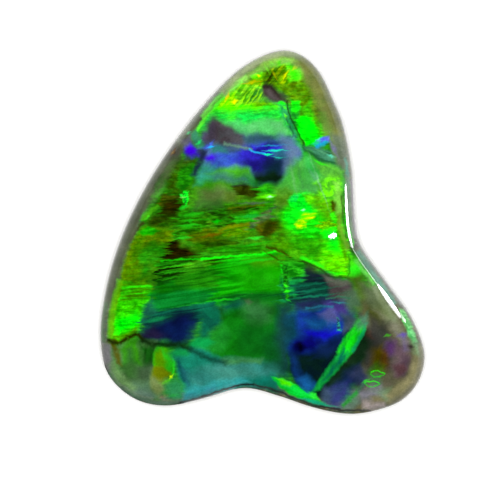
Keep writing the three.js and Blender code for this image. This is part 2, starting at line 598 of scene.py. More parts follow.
toothed("bright straw", ("#10b404", "#18f810"),
        [(296, 222), (330, 222), (344, 232), (340, 244), (306, 238)], edge=3)
flash("bright cluster", ("#00f814", "#08ff20"),
      [(288, 202), (296, 194), (306, 191), (318, 206), (316, 213), (296, 210)],
      "mottle", 2, 2)
flash("mint edge of the cluster", ("#10e850", "#18f040"), [(288, 200), (293, 195), (300, 194), (296, 202)],
      "mottle", 2)
flash("yellow green of the cluster", ("#48d800", "#70f008"),
      [(303, 194), (314, 194), (316, 204), (308, 204)], "mottle", 2)
haze("olive right of the cluster", ("#50b404", "#68cc10"),
     [(314, 198), (324, 194), (332, 204), (331, 224), (318, 214)], 3)
flash("left of the sheet", ("#08e810", "#10ff18"),
      [(286, 214), (298, 210), (302, 218), (296, 226), (288, 224)],
      "mottle", 2, 2)
flash("lime blob", ("#38e800", "#54fc04"),
      [(318, 186), (324, 180), (331, 182), (339, 192), (337, 198), (328, 199)],
      "mottle", 2)
flash("lime above it", ("#58d808", "#74e810"), [(328, 178), (337, 173), (345, 178), (343, 185), (333, 184)],
      "mottle", 2)
toothed("olive speckle", ("#509000", "#70b800"), [(318, 222), (334, 220), (336, 228), (322, 230)],
        "sparks", 2, 1)
flash("brown spot", ("#3c4800", "#4c5800"), [(331, 201), (335, 199), (339, 205), (337, 213), (332, 211)],
      "mottle", 1.6)
flash("green under it", ("#30f808", "#48ff10"), [(330, 213), (338, 212), (338, 221), (331, 220)], "mottle",
      1.5)
toothed("straw of the shoulder", ("#2cb400", "#60f008"),
        [(318, 240), (346, 238), (349, 276), (324, 276), (310, 264)],
        "ribs")
haze("lime of the shoulder", ("#58e800", "#70f400"), [(326, 250), (346, 246), (347, 272), (328, 270)], 4,
     0.75)
haze("dark right of the shoulder", ("#2ca004", "#38b808"),
     [(290, 238), (322, 238), (320, 262), (302, 258)], 3)
haze("green core", ("#04ff08", "#08ff10"), [(322, 232), (334, 230), (344, 240), (340, 252), (328, 248)], 4)
line("olive edge", ("#4c9000",), [(338, 215), (340, 234), (347, 262)], 4, edge=2.5, strength=0.8)
tell("flashes of the right shoulder")

# %% [markdown]
# ## The bright block
#
# On the lower left stands the brightest block of the flank. It is laid after the middle, because its
# sharp right side covers the ends of the straw there.

# %% Flashes of the bright block
haze("left edge of the block", ("#508c00", "#60a800"),
     [(108, 342), (110, 312), (118, 282), (126, 284), (120, 342)], 2)
flash("bright block", ("#28a800", "#3ce008"),
        [(112, 338), (118, 300), (126, 284), (152, 286), (148, 304), (138, 333), (122, 342)], "ribs", 1.5, 1)
flash("mottle of the block", ("#28b800", "#3cd804"),
      [(114, 312), (122, 298), (146, 300), (142, 318), (118, 322)],
      "mottle", 3)
haze("brightest green", ("#00ff04", "#10ff08"),
     [(114, 326), (122, 316), (136, 312), (142, 318), (134, 328), (118, 336)], 3)
flash("straw of the block", ("#388400", "#30d008"), [(122, 282), (151, 284), (149, 298), (120, 301)],
      "straw", 2)
line("olive foot of the block", ("#4c9400",), [(112, 338), (124, 338), (137, 330)], 4, edge=2.5)
tell("flashes of the bright block")

# %% [markdown]
# ## The narrow top
#
# Inside the narrow top lie a lime field with steep straw, a small dark oval, a bright band and a great
# green flash, with olive where the colour bars thin out.

# %% Flashes of the narrow top
haze("olive of the top", ("#5c7c10", "#6c8c20"),
     [(222, 98), (244, 78), (272, 56), (296, 56), (314, 84), (326, 130), (300, 112), (262, 112)], 4)
haze("leaf green crown", ("#4c9400", "#60b808"),
     [(232, 88), (258, 68), (276, 59), (294, 59), (304, 70), (309, 90), (312, 112), (262, 112)], 2.5)
flash("olive under the tip", ("#4c7c00", "#5c9c08"),
      [(280, 82), (304, 78), (310, 92), (314, 122), (300, 114), (284, 100)], "mottle", 3, 1)
flash("lime field", ("#58d800", "#94ff00"),
      [(200, 126), (208, 113), (222, 98), (238, 84), (262, 82), (264, 100), (262, 112), (205, 124)],
      "steep", 2, 1)
flash("yellow of the lime field", ("#6ce000", "#a4f400"),
      [(216, 104), (226, 90), (236, 90), (240, 104), (222, 108)],
      "steep", 3, 0, 0.6)
flash("dark straw", ("#58b810", "#94f420"), [(236, 90), (248, 83), (262, 83), (262, 102), (236, 106)],
      "steep", 2, 0)
flash("grey green wedge", ("#2c7c20", "#489c28"), [(248, 98), (256, 88), (264, 90), (266, 101), (250, 102)],
      "steep", 2.5, 0, 0.85)
flash("green tip", ("#50e808", "#74d818"),
      [(270, 62), (280, 58), (292, 58), (302, 66), (304, 74), (298, 80), (288, 80), (274, 70)],
      "mottle", 2, 2)
flash("bright square of the tip", ("#40ff08", "#54ff10"),
      [(290, 70), (296, 66), (302, 70), (300, 78), (291, 80)],
      "mottle", 1.5)
flash("gold of the tip", ("#3c7c00", "#8cb800"), [(270, 66), (286, 64), (289, 84), (278, 84)], "steep", 2,
      0)
flash("dark straw by the oval", ("#283c00", "#508c04"),
      [(264, 76), (268, 69), (274, 71), (279, 84), (264, 86)],
      "steep", 2, 1)
flash("green triangle", ("#54e800", "#74ff00"), [(250, 75), (262, 71), (262, 79), (254, 79)], "steep", 1.5)
flash("gold row", ("#889800", "#70b000"), [(246, 80), (262, 78), (261, 84), (250, 84)], "steep", 2)
flash("bright band", ("#30ff08", "#60ff00"),
      [(207, 114), (213, 106), (236, 105), (262, 106), (287, 103), (287, 111), (262, 113)], "straw", 3)
haze("middle green", ("#20e038", "#38f030"),
     [(197, 129), (207, 112), (250, 111), (286, 108), (290, 128), (283, 136), (240, 131)], 3)
flash("teal green spot", ("#10f050", "#18e848"),
      [(238, 114), (250, 112), (262, 116), (252, 124), (238, 121)],
      "mottle", 4, 0, 0.8)
flash("orange below the lime", ("#6c9c00", "#8ca800"),
      [(250, 104), (262, 102), (268, 103), (262, 106), (254, 107)],
      "straw", 2, 0, 0.6)
tell("flashes of the narrow top")

# %% [markdown]
# ## The crack
#
# A healed crack runs from the dark oval down to the right. Teal shows on its left side, and on its right
# stand the brightest blocks of the top.

# %% Flashes on both sides of the crack
flash("green right of the crack", ("#1c9824", "#28bc20"),
      [(288, 104), (300, 106), (302, 150), (292, 142), (288, 125)], "mottle", 2.5)
flash("top block", ("#14ff10", "#20f818"), [(291, 100), (300, 101), (301, 108), (297, 113), (292, 112)],
      "mottle", 1.5)
flash("green below the block", ("#30c010", "#3cd808"), [(300, 110), (310, 100), (316, 120), (306, 118)],
      "mottle", 3,
      0, 0.7)
flash("great green flash", ("#00ff08", "#08ff08"),
      [(296, 120), (303, 115), (310, 117), (316, 127), (323, 134), (322, 141), (314, 147), (306, 144),
       (298, 131)],
      "mottle", 2, 1.5)
flash("green on the olive", ("#34c808", "#50b008"),
      [(315, 118), (320, 119), (328, 134), (325, 140), (319, 132)],
      "mottle", 2.5)
tell("flashes on both sides of the crack")

# %% [markdown]
# ## Variation of the greens
#
# Everything laid so far is straw and blocks of green. It is varied now, before the smooth fields, the
# blue band and the sparks are laid over it, since those keep their even colour.

# %% Vary the straw fields
vary("dashes", (0.70, 0.74, 0.78), (1.20, 1.16, 1.15))
vary("blotches", (0.80, 0.80, 0.84), (1.14, 1.16, 1.14))
vary("hues", (0.74, 1.02, 1.12), (1.14, 0.99, 0.88))

# %% [markdown]
# ## The emerald field
#
# Across the lower middle runs the widest flash, emerald with flat straw and a lit upper edge.

# %% Flashes of the emerald field
toothed("emerald field", ("#067c00", "#14b008"),
        [(150, 291), (184, 286), (212, 276), (224, 262), (250, 256), (284, 252), (284, 296), (240, 300),
         (200, 305), (148, 316)], "rising")
haze("lit right of the field", ("#109200", "#189c06"),
     [(236, 268), (270, 262), (282, 268), (282, 288), (244, 290)], 5)
haze("olive top of the field", ("#388c00", "#489808"), [(242, 258), (284, 256), (284, 266), (256, 267)], 3,
     0.8)
haze("dark left of the field", ("#064c04", "#0a6010"),
     [(150, 282), (180, 276), (196, 284), (184, 294), (152, 300)], 4, 0.8)
toothed("dark straw of the field", ("#0c5404", "#207c08"),
        [(178, 270), (206, 264), (222, 272), (214, 289), (180, 287)],
        "rising", 4, strength=0.85)
toothed("blue green of the field", ("#046818", "#0a8028"),
        [(150, 314), (152, 296), (180, 291), (216, 290), (200, 304)],
        "rising", 3)
toothed("dark foot of the field", ("#064c10", "#0a6414"),
        [(206, 300), (240, 293), (284, 292), (284, 300), (240, 304)],
        "rising", 2.5)
tell("flashes of the emerald field")

# %% Grey green haze over the middle
haze("green shelf", ("#2c8408", "#409410"),
     [(194, 188), (206, 178), (226, 177), (244, 184), (230, 190), (196, 196)], 3)
haze("grey green", ("#506c2c", "#5c783c"),
     [(198, 204), (201, 190), (220, 187), (238, 190), (236, 202), (206, 204)], 3)
haze("green grey foot", ("#346024", "#3c7428"), [(194, 201), (222, 199), (224, 208), (194, 210)], 3, 0.8)
haze("olive brown", ("#486c08", "#507410"), [(224, 192), (234, 189), (246, 190), (242, 200), (226, 201)],
     3, 0.7)
toothed("dark olive spot", ("#202800", "#344404"),
        [(233, 188), (244, 182), (256, 186), (258, 197), (246, 198), (237, 193)],
        "mottle", 3)
tell("grey green haze over the middle")

# %% [markdown]
# ## Lines and sparks
#
# The brightest and thinnest marks are laid after the variation, so that it doesn't break them up: lit
# edges of the straw, single bundles that flare up, and the gold streak of the middle.

# %% Sparks and lines of the left flank and the middle
flash("leaf green edge", ("#30b010", "#48d81c"),
      [(151, 196), (156, 189), (162, 189), (159, 195), (153, 198)],
      "straw", 1.8)
haze("green foot of the edge", ("#247c14", "#2c8c1c"), [(154, 188), (162, 181), (168, 184), (162, 190)], 3,
     0.8)
flash("spark cluster", ("#08981c", "#10f420"),
      [(184, 192), (188, 192), (187.5, 200), (185, 205), (183.5, 200)],
      "sparks", 1.2, 1)
splinter("spark", ("#20e830",), (179, 194), (184, 196), 3.5)
splinter("spark", ("#18d020",), (180, 209), (188, 206), 4, edge=1.5)
splinter("white spark", ("#80f860",), (181, 197.5), (186, 197), 1.2)
flash("leaf", ("#34c818", "#4ce020"), [(138, 221), (143, 213), (150, 212), (149, 217), (142, 221)],
      "straw", 1.5)
line("leaf stem", ("#44a010",), [(140, 220), (150, 212), (158, 205)], 3.5, edge=1.5, strength=0.85)
line("brown seam", ("#302810",), [(128, 241), (136, 229), (144, 222)], 4, edge=2, strength=0.85)
splinter("long dash", ("#20b814",), (176, 226), (200, 225), 3)
splinter("long dash", ("#20b010",), (182, 215), (203, 213), 3.6, edge=1.5)
splinter("long dash", ("#1ca810",), (184, 220.5), (196, 220), 2.6)
splinter("long dash", ("#28b018",), (174, 239), (192, 237), 3)
splinter("long dash", ("#10a028",), (240, 217), (264, 215), 3.4, edge=1.5)
splinter("long dash", ("#30d024",), (247, 239), (264, 237), 3.2)
splinter("green spot", ("#08b004",), (212, 222), (222, 221), 4.5, edge=1.5)
splinter("long spark", ("#5cec08",), (256, 197.5), (279, 195.5), 4.6, edge=1.6)
splinter("white core", ("#b8ffc8",), (267.5, 197.2), (272, 197), 1.3)
line("brown thread", ("#5c6000",), [(228, 208), (246, 207), (264, 205)], 1.2, strength=0.6)
splinter("grey bar", ("#4c5c48",), (240, 203.5), (266, 202.5), 3, edge=1.5, strength=0.8)
line("gold streak", ("#708000",), [(219, 231), (230, 226.5), (250, 224)], 2.6, edge=1.6, strength=0.85)
splinter("orange streak", ("#705400",), (202, 237), (222, 233), 4, edge=2, strength=0.8)
line("lit upper edge", ("#10c808",), [(160, 261.5), (186, 259), (206, 258.5)], 1)
line("lit upper edge", ("#10f810",), [(200, 259), (235, 256), (262, 254), (276, 251)], 1.8, edge=1.2)
splinter("lit straw", ("#12d40c",), (212, 262), (262, 256.5), 2.6, edge=1.2)
splinter("lit straw", ("#10c410",), (240, 247), (268, 242), 2.4, edge=1.2, strength=0.6)
splinter("lit straw", ("#18c010",), (224, 264), (280, 258), 3, edge=1.2)
splinter("foot straw", ("#18a020",), (150, 313), (236, 297), 2.6, edge=1.2)
line("straw end", ("#14b810",), [(204, 303), (222, 300), (240, 298)], 1.8)
splinter("comb tooth", ("#38c414",), (160, 268), (192, 263.5), 1.6)
splinter("comb tooth", ("#28a010",), (156, 274), (186, 270), 1.6)
splinter("comb tooth", ("#24900c",), (160, 280), (188, 275), 1.6)
tell("sparks and lines of the left flank and the middle")

# %% Sparks and lines of the shoulder
flash("yellow cluster", ("#50e800", "#f0ff00"),
      [(300, 218), (304, 213), (317, 214), (312, 219), (303, 221)],
      "rising", 1.6, 0, 0.85)
flash("yellow cluster", ("#70f000", "#f0ff00"),
      [(295, 224), (301, 219), (306, 222), (305, 227), (297, 228)],
      "hues", 1.6)
splinter("white dot", ("#a0ffc0",), (301.5, 210.2), (304.5, 210), 1.4)
line("dark straw line", ("#304400",), [(266, 246), (280, 251), (292, 257)], 2.4, edge=1.2)
splinter("dark straw line", ("#2c4800",), (262, 250), (284, 263), 2.2, edge=1.2)
splinter("dark straw line", ("#2c4c00",), (286, 262), (312, 262), 3, edge=1.5, strength=0.8)
line("lit seam", ("#14d810",), [(281, 264), (283, 276), (282.5, 290)], 2)
toothed("bright diagonal", ("#40a808", "#54c40c"), [(286, 250), (296, 251), (305, 257), (296, 256)],
        "mottle", 2)
line("bright diagonal", ("#28e810",), [(300, 257), (312, 262), (324, 267)], 2.8, edge=1.5)
splinter("lit foot", ("#30ff04",), (322, 272), (352, 275), 3, edge=1.2)
tell("sparks and lines of the shoulder")

# %% Sparks and lines of the top
line("bright left edge", ("#58ff30",), [(196, 130), (206, 116), (219, 101), (232, 88), (243, 80)], 2.6,
     edge=1.2)
splinter("yellow straw", ("#d8e800",), (289, 69), (282, 80), 2.6)
splinter("yellow straw", ("#98a800",), (272, 70), (277, 79), 2)
splinter("yellow straw", ("#a8e010",), (292, 69), (300, 63), 3)
splinter("lime straw", ("#70dc20",), (264, 63), (269, 71), 4, edge=1.4)
splinter("yellow dot", ("#e8e800",), (256, 75), (261, 75.5), 2.6)
splinter("yellow spark", ("#e8e000",), (229, 90), (225, 102), 4, edge=1.2)
splinter("yellow spark", ("#e0f000",), (231, 101.5), (238, 100.5), 4.4, edge=1.2)
splinter("gold thread", ("#b0b800",), (240, 83), (262, 80), 2.2)
for start_x, start_y in ((238, 106), (244, 105), (250, 104), (256, 102)):
    splinter("steep thread", ("#a4ff08",), (start_x, start_y), (start_x + 9, start_y - 13), 1.6,
             strength=0.8)
    splinter("steep shadow", ("#2c8c08",), (start_x + 3, start_y - 1), (start_x + 11, start_y - 14), 1.6,
             strength=0.8)
haze("grey foot of the oval", ("#3c6444", "#487050"),
     [(262, 90), (280, 90), (287, 101), (284, 105), (270, 102)], 2.4, 0.9)
haze("dark oval", ("#2c2420", "#3c342c"),
     [(261, 86), (266, 81), (274, 83), (281, 92), (286, 100), (274, 99), (264, 95)], 1.8)
haze("mauve of the oval", ("#4c4444", "#585050"), [(265, 90), (271, 88), (280, 97), (273, 98)], 1.8, 0.9)
splinter("block beside the crack", ("#18f818",), (276, 102), (288, 104), 5, edge=1.5)
tell("sparks and lines of the top")

# %% The crack
flash("teal left of the crack", ("#1c8448", "#2c9c60"),
      [(279, 104), (287, 105), (298, 138), (292, 138), (281, 114)], "upright", 2.5, 0, 0.85)
splinter("green fleck", ("#40e820",), (283, 105), (287, 110), 2.5)
splinter("green fleck", ("#60ff10",), (284, 113), (287, 119), 2.5)
splinter("green fleck", ("#30e840",), (286, 121), (290, 126), 2.2)
splinter("green fleck", ("#28c838",), (289, 130), (292, 136), 2.2)
line("crack", ("#143008",), [(288, 100), (287.5, 109), (291, 118), (296, 128), (301, 138), (307, 148)], 1.6,
     edge=1.2, strength=0.9)
line("second crack", ("#1c5c30",), [(286, 116), (290, 127), (297, 138)], 1.4, edge=1, strength=0.8)
tell("the crack")

# %% [markdown]
# ## The blue band
#
# Below the top, two violet flashes, a deep blue field and a smoky slate band cross the stone. They lie
# deeper than the greens, so their edges are soft.

# %% Flashes of the blue band
haze("slate ground", ("#3c5c88", "#4c68a0"),
     [(200, 152), (206, 132), (262, 132), (292, 138), (302, 150), (290, 184), (244, 180), (204, 168)], 3)
haze("grey purple", ("#403848", "#4c4454"),
     [(203, 144), (205, 124), (211, 117), (218, 122), (226, 128), (224, 144)], 4)
haze("brown grey", ("#40383c", "#48484c"),
     [(214, 122), (234, 126), (243, 132), (252, 139), (240, 144), (214, 145)], 4)
haze("grey teal", ("#346868", "#3c6c78"),
     [(244, 138), (262, 133), (280, 135), (294, 142), (280, 146), (252, 144)], 2.5)
haze("pale green", ("#50c460", "#68d478"),
     [(240, 128), (262, 118), (283, 119), (290, 134), (280, 137), (262, 133), (247, 135)], 2.5)
haze("pale green left", ("#40b858", "#50c068"),
     [(222, 122), (240, 120), (250, 128), (246, 134), (232, 128)], 2.5, 0.8)
haze("deep blue", ("#140c68", "#2c24c8"),
     [(238, 152), (252, 141), (274, 140), (284, 146), (284, 158), (262, 168), (242, 164)], 5)
haze("dark teal over the blue", ("#2c4c5c", "#305864"),
     [(243, 137), (260, 133), (274, 136), (266, 142), (248, 142)], 2.2, 0.9)
haze("light blue haze", ("#2c44a8", "#385cc0"),
     [(212, 160), (220, 151), (238, 150), (244, 160), (228, 170), (214, 170)], 3.5)
haze("violet blue", ("#2018a8", "#2c1cc0"), [(226, 156), (250, 154), (252, 164), (232, 164)], 4, 0.6)
haze("navy", ("#181060", "#201888"), [(250, 158), (272, 156), (276, 168), (256, 174), (246, 168)], 3.5)
haze("lit left of the blue", ("#3028c0", "#3c34dc"), [(240, 150), (254, 148), (258, 160), (242, 160)], 3,
     0.8)
haze("near black", ("#0a2030", "#0e283c"),
     [(264, 162), (274, 155), (282, 156), (285, 168), (276, 182), (260, 178)], 5)
haze("black green", ("#081c0c", "#0c2814"), [(252, 174), (272, 170), (284, 176), (274, 186), (256, 183)], 3)
haze("grey lilac", ("#506c84", "#5c7488"), [(285, 160), (288, 148), (295, 150), (293, 170), (286, 174)],
     3.5)
haze("slate right", ("#4c6c90", "#587494"), [(278, 136), (292, 138), (300, 150), (292, 160), (285, 150)],
     3, 0.8)
haze("teal under the threads", ("#286478", "#307080"), [(272, 151), (286, 150), (286, 158), (274, 157)], 2,
     0.8)
flash("slate left", ("#304c60", "#405c7c"), [(213, 146), (238, 146), (240, 151), (214, 152)], "straw", 2.5)
haze("dark teal", ("#246868", "#2c7470"), [(210, 146), (222, 144), (226, 152), (212, 154)], 2.5)
haze("purple haze left", ("#2c2448", "#342c50"),
     [(180, 146), (188, 139), (204, 148), (206, 158), (184, 158)], 2.5, 0.85)
haze("violet flash", ("#3c04d0", "#500cf8"),
     [(184, 146), (190, 142), (198, 149), (197, 155), (191, 157), (184, 152)], 2.2)
haze("second violet", ("#3008b8", "#4010d8"), [(203, 156), (212, 155), (219, 158), (216, 162), (207, 162)],
     2.2)
splinter("blue thread", ("#4058c8",), (200, 148), (213, 146), 4, edge=2)
splinter("cyan spark", ("#18b8ff",), (207, 147.5), (213, 146.5), 3.2, edge=1.2)
splinter("blue spark", ("#4868d8",), (208, 147), (213, 141), 3, edge=1.5)
line("pale line", ("#648c74",), [(224, 143.5), (238, 146.5), (252, 150)], 2.2, edge=1.4, strength=0.85)
line("cyan line", ("#1ca8e0",), [(249, 150), (262, 153.5), (266, 154)], 1.6)
splinter("cyan bar", ("#18e8b8",), (266, 150.5), (285, 150), 1.8)
splinter("cyan thread", ("#18a8c8",), (262, 146), (284, 145), 1.2, strength=0.7)
splinter("cyan oval", ("#10ffa0",), (263, 154.7), (272, 154.4), 2.2)
splinter("cyan thread", ("#20b09c",), (273, 157), (284, 157.5), 1.4)
line("navy streak of the flank", ("#182440",), [(205, 150), (200, 162), (194, 176)], 5, edge=2.5,
     strength=0.9)
tell("flashes of the blue band")

# %% Green below the blue band
haze("teal edge", ("#2c9468", "#348c84"), [(199, 170), (206, 163), (216, 166), (216, 178), (198, 184)], 3)
haze("slate teal", ("#306c60", "#3c746c"), [(211, 173), (232, 170), (254, 174), (252, 182), (214, 181)], 3)
haze("green stripe", ("#3c9c20", "#48b020"), [(214, 173), (236, 168), (250, 170), (253, 177), (236, 178)],
     3)
haze("green end of the stripe", ("#147808", "#1c8c10"), [(244, 178), (254, 176), (260, 182), (250, 185)],
     3, 0.8)
haze("hazy green", ("#3ca840", "#4cb04c"),
     [(287, 178), (294, 160), (310, 156), (345, 168), (348, 188), (318, 192), (282, 190)], 3.5, 0.9)
haze("hazy green left", ("#40ac30", "#50b43c"),
     [(273, 190), (280, 180), (289, 168), (300, 164), (302, 184), (286, 194)], 3, 0.9)
haze("pale seam", ("#5c9c80", "#64a488"), [(307, 158), (310, 158), (320, 188), (316, 188)], 2, 0.5)
flash("lime over the haze", ("#44a820", "#6cf010"),
      [(315, 184), (322, 178), (336, 172), (343, 178), (342, 190), (334, 200), (322, 198)],
      "mottle", 3, 1)
flash("olive over the haze", ("#4c9c30", "#68c838"),
      [(316, 164), (330, 164), (344, 170), (340, 178), (322, 178)], "blotches", 3.5, 0, 0.75)
splinter("streak in the haze", ("#3c7c48",), (297, 162), (303, 188), 4, edge=2.5, strength=0.5)
splinter("streak in the haze", ("#78b878",), (291, 168), (296, 190), 3, edge=2.5, strength=0.45)
splinter("streak in the haze", ("#90c8a0",), (311, 160), (324, 196), 1.6, edge=1.4, strength=0.5)
flash("olive foot of the haze", ("#448408", "#5c9c1c"),
      [(276, 190), (286, 187), (292, 192), (286, 206), (276, 204)], "mottle", 3, 0, 0.7)
haze("green by the crack", ("#24b038", "#34bc40"), [(302, 150), (312, 158), (319, 174), (308, 168)], 3, 0.8)
flash("dark teal right", ("#2c6c48", "#449068"),
      [(305, 146), (318, 146), (335, 153), (336, 163), (320, 160)],
      "falling", 2.5)
line("crack foot", ("#1c5834",), [(303, 146), (311, 154), (321, 159.5), (336, 163)], 2.2, edge=1.5,
     strength=0.85)
splinter("pale streak", ("#58a878",), (314, 148), (332, 156), 2.4, edge=1.2)
splinter("mint dot", ("#58d8b0",), (328, 155), (336, 157), 3, edge=1.2)
splinter("green streak", ("#3ce820",), (314, 160), (328, 166), 3.2, edge=1.2)
haze("cyan under the spot", ("#20b0e8", "#1cb8e0"),
     [(316, 144), (322, 141), (331, 142), (326, 146), (318, 147)], 1.2, 0.9)
haze("blue violet spot", ("#4450e4", "#6474f4"),
     [(319, 139), (324, 136.5), (331, 136), (331, 141.5), (323, 142.5)], 1)
splinter("mint tail", ("#28d098",), (312, 144), (321, 141), 3.4, edge=1.5)
tell("green below the blue band")

# %% [markdown]
# ## The dark hollow and the lower left
#
# Right of the emerald field a dark hollow with teal straw begins. On the left a crack curves across the
# lobe, with a navy wedge above it and hazy greens and a yellow patch below.

# %% Flashes of the dark hollow
haze("hollow ground", ("#0c2c30", "#123838"),
     [(284, 274), (302, 269), (326, 280), (350, 281), (358, 302), (300, 308), (284, 308)], 3)
toothed("green head of the hollow", ("#0c7408", "#2cc018"),
        [(284, 261), (302, 262), (306, 270), (303, 284), (284, 290)],
        "ribs", 3)
toothed("teal of the hollow", ("#0a3c20", "#109440"), [(284, 282), (303, 276), (302, 302), (286, 304)],
        "ribs", 3)
haze("brown head of the hollow", ("#283420", "#342c20"), [(305, 265), (316, 268), (324, 275), (307, 276)],
     2.5, 0.7)
haze("navy hollow", ("#0c2020", "#141c2c"), [(305, 276), (322, 274), (332, 286), (306, 290)], 4,
     kind="straw")
haze("green grey hollow", ("#4c5c44", "#586050"), [(324, 279), (348, 280), (350, 285), (328, 284)], 2.2)
haze("brown grey hollow", ("#3c3434", "#4c4444"), [(326, 280), (348, 280), (352, 296), (332, 298)], 3.5)
haze("pale head of it", ("#5c6454", "#686c5c"), [(326, 279), (346, 280), (348, 283), (330, 283)], 2.4, 0.8)
toothed("teal straw", ("#081c24", "#0c5038"), [(294, 284), (322, 279), (328, 295), (298, 303)], "rising", 3)
flash("dark seam", ("#0c5408", "#189810"), [(283, 264), (287, 264), (290, 298), (286, 300), (283, 288)],
      "sparks", 1.5)
splinter("green fleck", ("#30f020",), (283, 284), (289, 287), 2.4)
splinter("green fleck", ("#28f018",), (283, 292), (291, 290), 3)
splinter("green fleck", ("#20c820",), (286, 298), (291, 301), 2)
haze("green foot of the shoulder", ("#2ce818", "#40d010"),
     [(350, 256), (355, 259), (368, 274), (358, 276), (350, 274)], 2.4)
line("edge of the hollow", ("#1c2c08",), [(302, 261), (318, 267), (328, 276), (350, 278)], 1.6, edge=1.4,
     strength=0.85)
haze("olive slope", ("#3c6014", "#4c6c20"), [(350, 276), (362, 274), (370, 292), (368, 310), (354, 304)], 4)
tell("flashes of the dark hollow")

# %% Flashes above the crack of the lobe
toothed("teal strips", ("#083c30", "#0c6848"),
        [(140, 324), (146, 312), (212, 302), (222, 308), (200, 322), (150, 332)], "rising", 2)
splinter("green strip", ("#108c48",), (144, 322), (176, 316), 4.5, edge=2)
splinter("dark strip", ("#083424",), (148, 326), (182, 314), 3.5, edge=2, strength=0.8)
haze("slate of the strips", ("#145440", "#186048"), [(145, 306), (152, 302), (156, 312), (142, 324)], 3)
haze("navy wedge", ("#080c28", "#0a1238"),
     [(138, 334), (152, 324), (180, 312), (192, 312), (195, 322), (188, 344), (142, 343)], 5)
haze("purple black", ("#18142c", "#1c1834"), [(141, 333), (154, 328), (164, 334), (158, 341), (145, 340)],
     4)
haze("blue of the wedge", ("#081648", "#0a2050"),
     [(164, 328), (172, 322), (194, 318), (192, 338), (172, 340)], 5, 0.9)
haze("teal block", ("#08503c", "#0a6848"),
     [(200, 314), (208, 306), (220, 308), (224, 322), (210, 336), (199, 340)], 4)
haze("dark streak", ("#083c14", "#0a4818"), [(216, 308), (223, 306), (230, 318), (224, 322)], 2.5)
tell("flashes above the crack of the lobe")

# %% Flashes of the lower middle
haze("green cloud", ("#086008", "#0c7410"),
     [(206, 352), (222, 324), (232, 302), (278, 300), (284, 330), (282, 368), (240, 362), (212, 358)], 3)
haze("dark green of the cloud", ("#085c10", "#0a6414"),
     [(236, 330), (250, 322), (284, 318), (286, 376), (262, 364), (240, 352)], 5)
haze("darkest green", ("#064414", "#084c1c"), [(264, 338), (284, 324), (290, 372), (280, 380), (266, 366)],
     5, 0.8)
haze("teal head of the cloud", ("#084c34", "#0a543c"),
     [(222, 304), (240, 300), (248, 302), (242, 310), (226, 312)], 3.5)
haze("pale cloud", ("#205c28", "#2c6c34"),
     [(242, 304), (258, 302), (270, 308), (270, 320), (252, 322), (242, 314)], 5)
haze("light spot", ("#4c6444", "#54704c"), [(244, 300), (250, 298), (254, 302), (248, 306)], 1.6, 0.6)
haze("light green slope", ("#147c20", "#1c8c28"),
     [(200, 350), (210, 336), (222, 326), (230, 334), (222, 350), (212, 356)], 4)
haze("emerald wedge", ("#0a8c40", "#0e9c48"),
     [(188, 346), (196, 338), (210, 336), (216, 341), (206, 350), (192, 350)], 2)
tell("flashes of the lower middle")

# %% Flashes of the left lobe
haze("lobe ground", ("#48743c", "#54804c"),
     [(104, 350), (120, 343), (154, 342), (160, 404), (128, 398), (108, 374)], 2.5)
haze("lobe green", ("#247408", "#348c10"), [(119, 348), (130, 340), (139, 341), (142, 366), (124, 366)],
     2.5)
haze("lobe grey streak", ("#285424", "#2c5c2c"), [(126, 350), (132, 348), (138, 376), (128, 376)], 3, 0.8)
haze("lobe dark green", ("#0c4408", "#145410"), [(140, 344), (155, 345), (154, 370), (142, 372)], 2.5,
     kind="upright")
haze("lobe grey green", ("#344c30", "#3c5838"),
     [(120, 372), (138, 366), (153, 366), (152, 384), (130, 384)], 4)
haze("lobe green below", ("#2c5c20", "#346828"), [(120, 364), (136, 364), (136, 378), (126, 382)], 4, 0.8)
haze("lobe grey", ("#4c6c50", "#54785c"), [(122, 388), (146, 384), (158, 392), (150, 402), (132, 400)], 4)
haze("pale foot of the lobe", ("#5c7868", "#64806c"), [(134, 392), (150, 391), (152, 397), (140, 399)], 2,
     0.8)
line("brown edge of the lobe", ("#505000",), [(111, 342), (116, 352), (118, 366)], 6, edge=2.5,
     strength=0.9)
splinter("lobe specks", ("#48a030",), (113, 360), (119, 374), 2.6, edge=1.5, strength=0.6)
flash("yellow green", ("#289c10", "#3ca008"),
      [(153, 356), (156, 348), (165, 346), (172, 354), (175, 364), (172, 376), (153, 372)], "smoke", 1.8)
haze("yellow of the patch", ("#488800", "#508c00"),
     [(154, 352), (162, 350), (166, 360), (160, 368), (154, 368)], 2)
haze("orange brown", ("#5c7000", "#687804"), [(152, 369), (160, 367), (169, 374), (163, 380), (152, 380)],
     1.6)
haze("tan", ("#64783c", "#6c8048"), [(151, 378), (164, 380), (167, 390), (158, 395), (152, 388)], 2.5)
haze("green right of the patch", ("#14b018", "#20b820"), [(164, 350), (171, 354), (174, 366), (168, 370)],
     2.5, 0.8)
line("bright arc", ("#24d820",), [(172, 355), (174, 366), (173, 376)], 1, strength=0.8)
splinter("lime foot of the arc", ("#4cc010",), (163, 384), (173, 377), 2.2, edge=1.2, strength=0.7)
splinter("yellow streak", ("#c8f800",), (169, 379), (173, 375.5), 2.4)
haze("green foot", ("#207840", "#2c8850"), [(165, 386), (173, 378), (182, 382), (184, 400), (166, 400)], 3)
splinter("bright foot", ("#2ca044",), (168, 397), (177, 395), 3, edge=2)
tell("flashes of the left lobe")

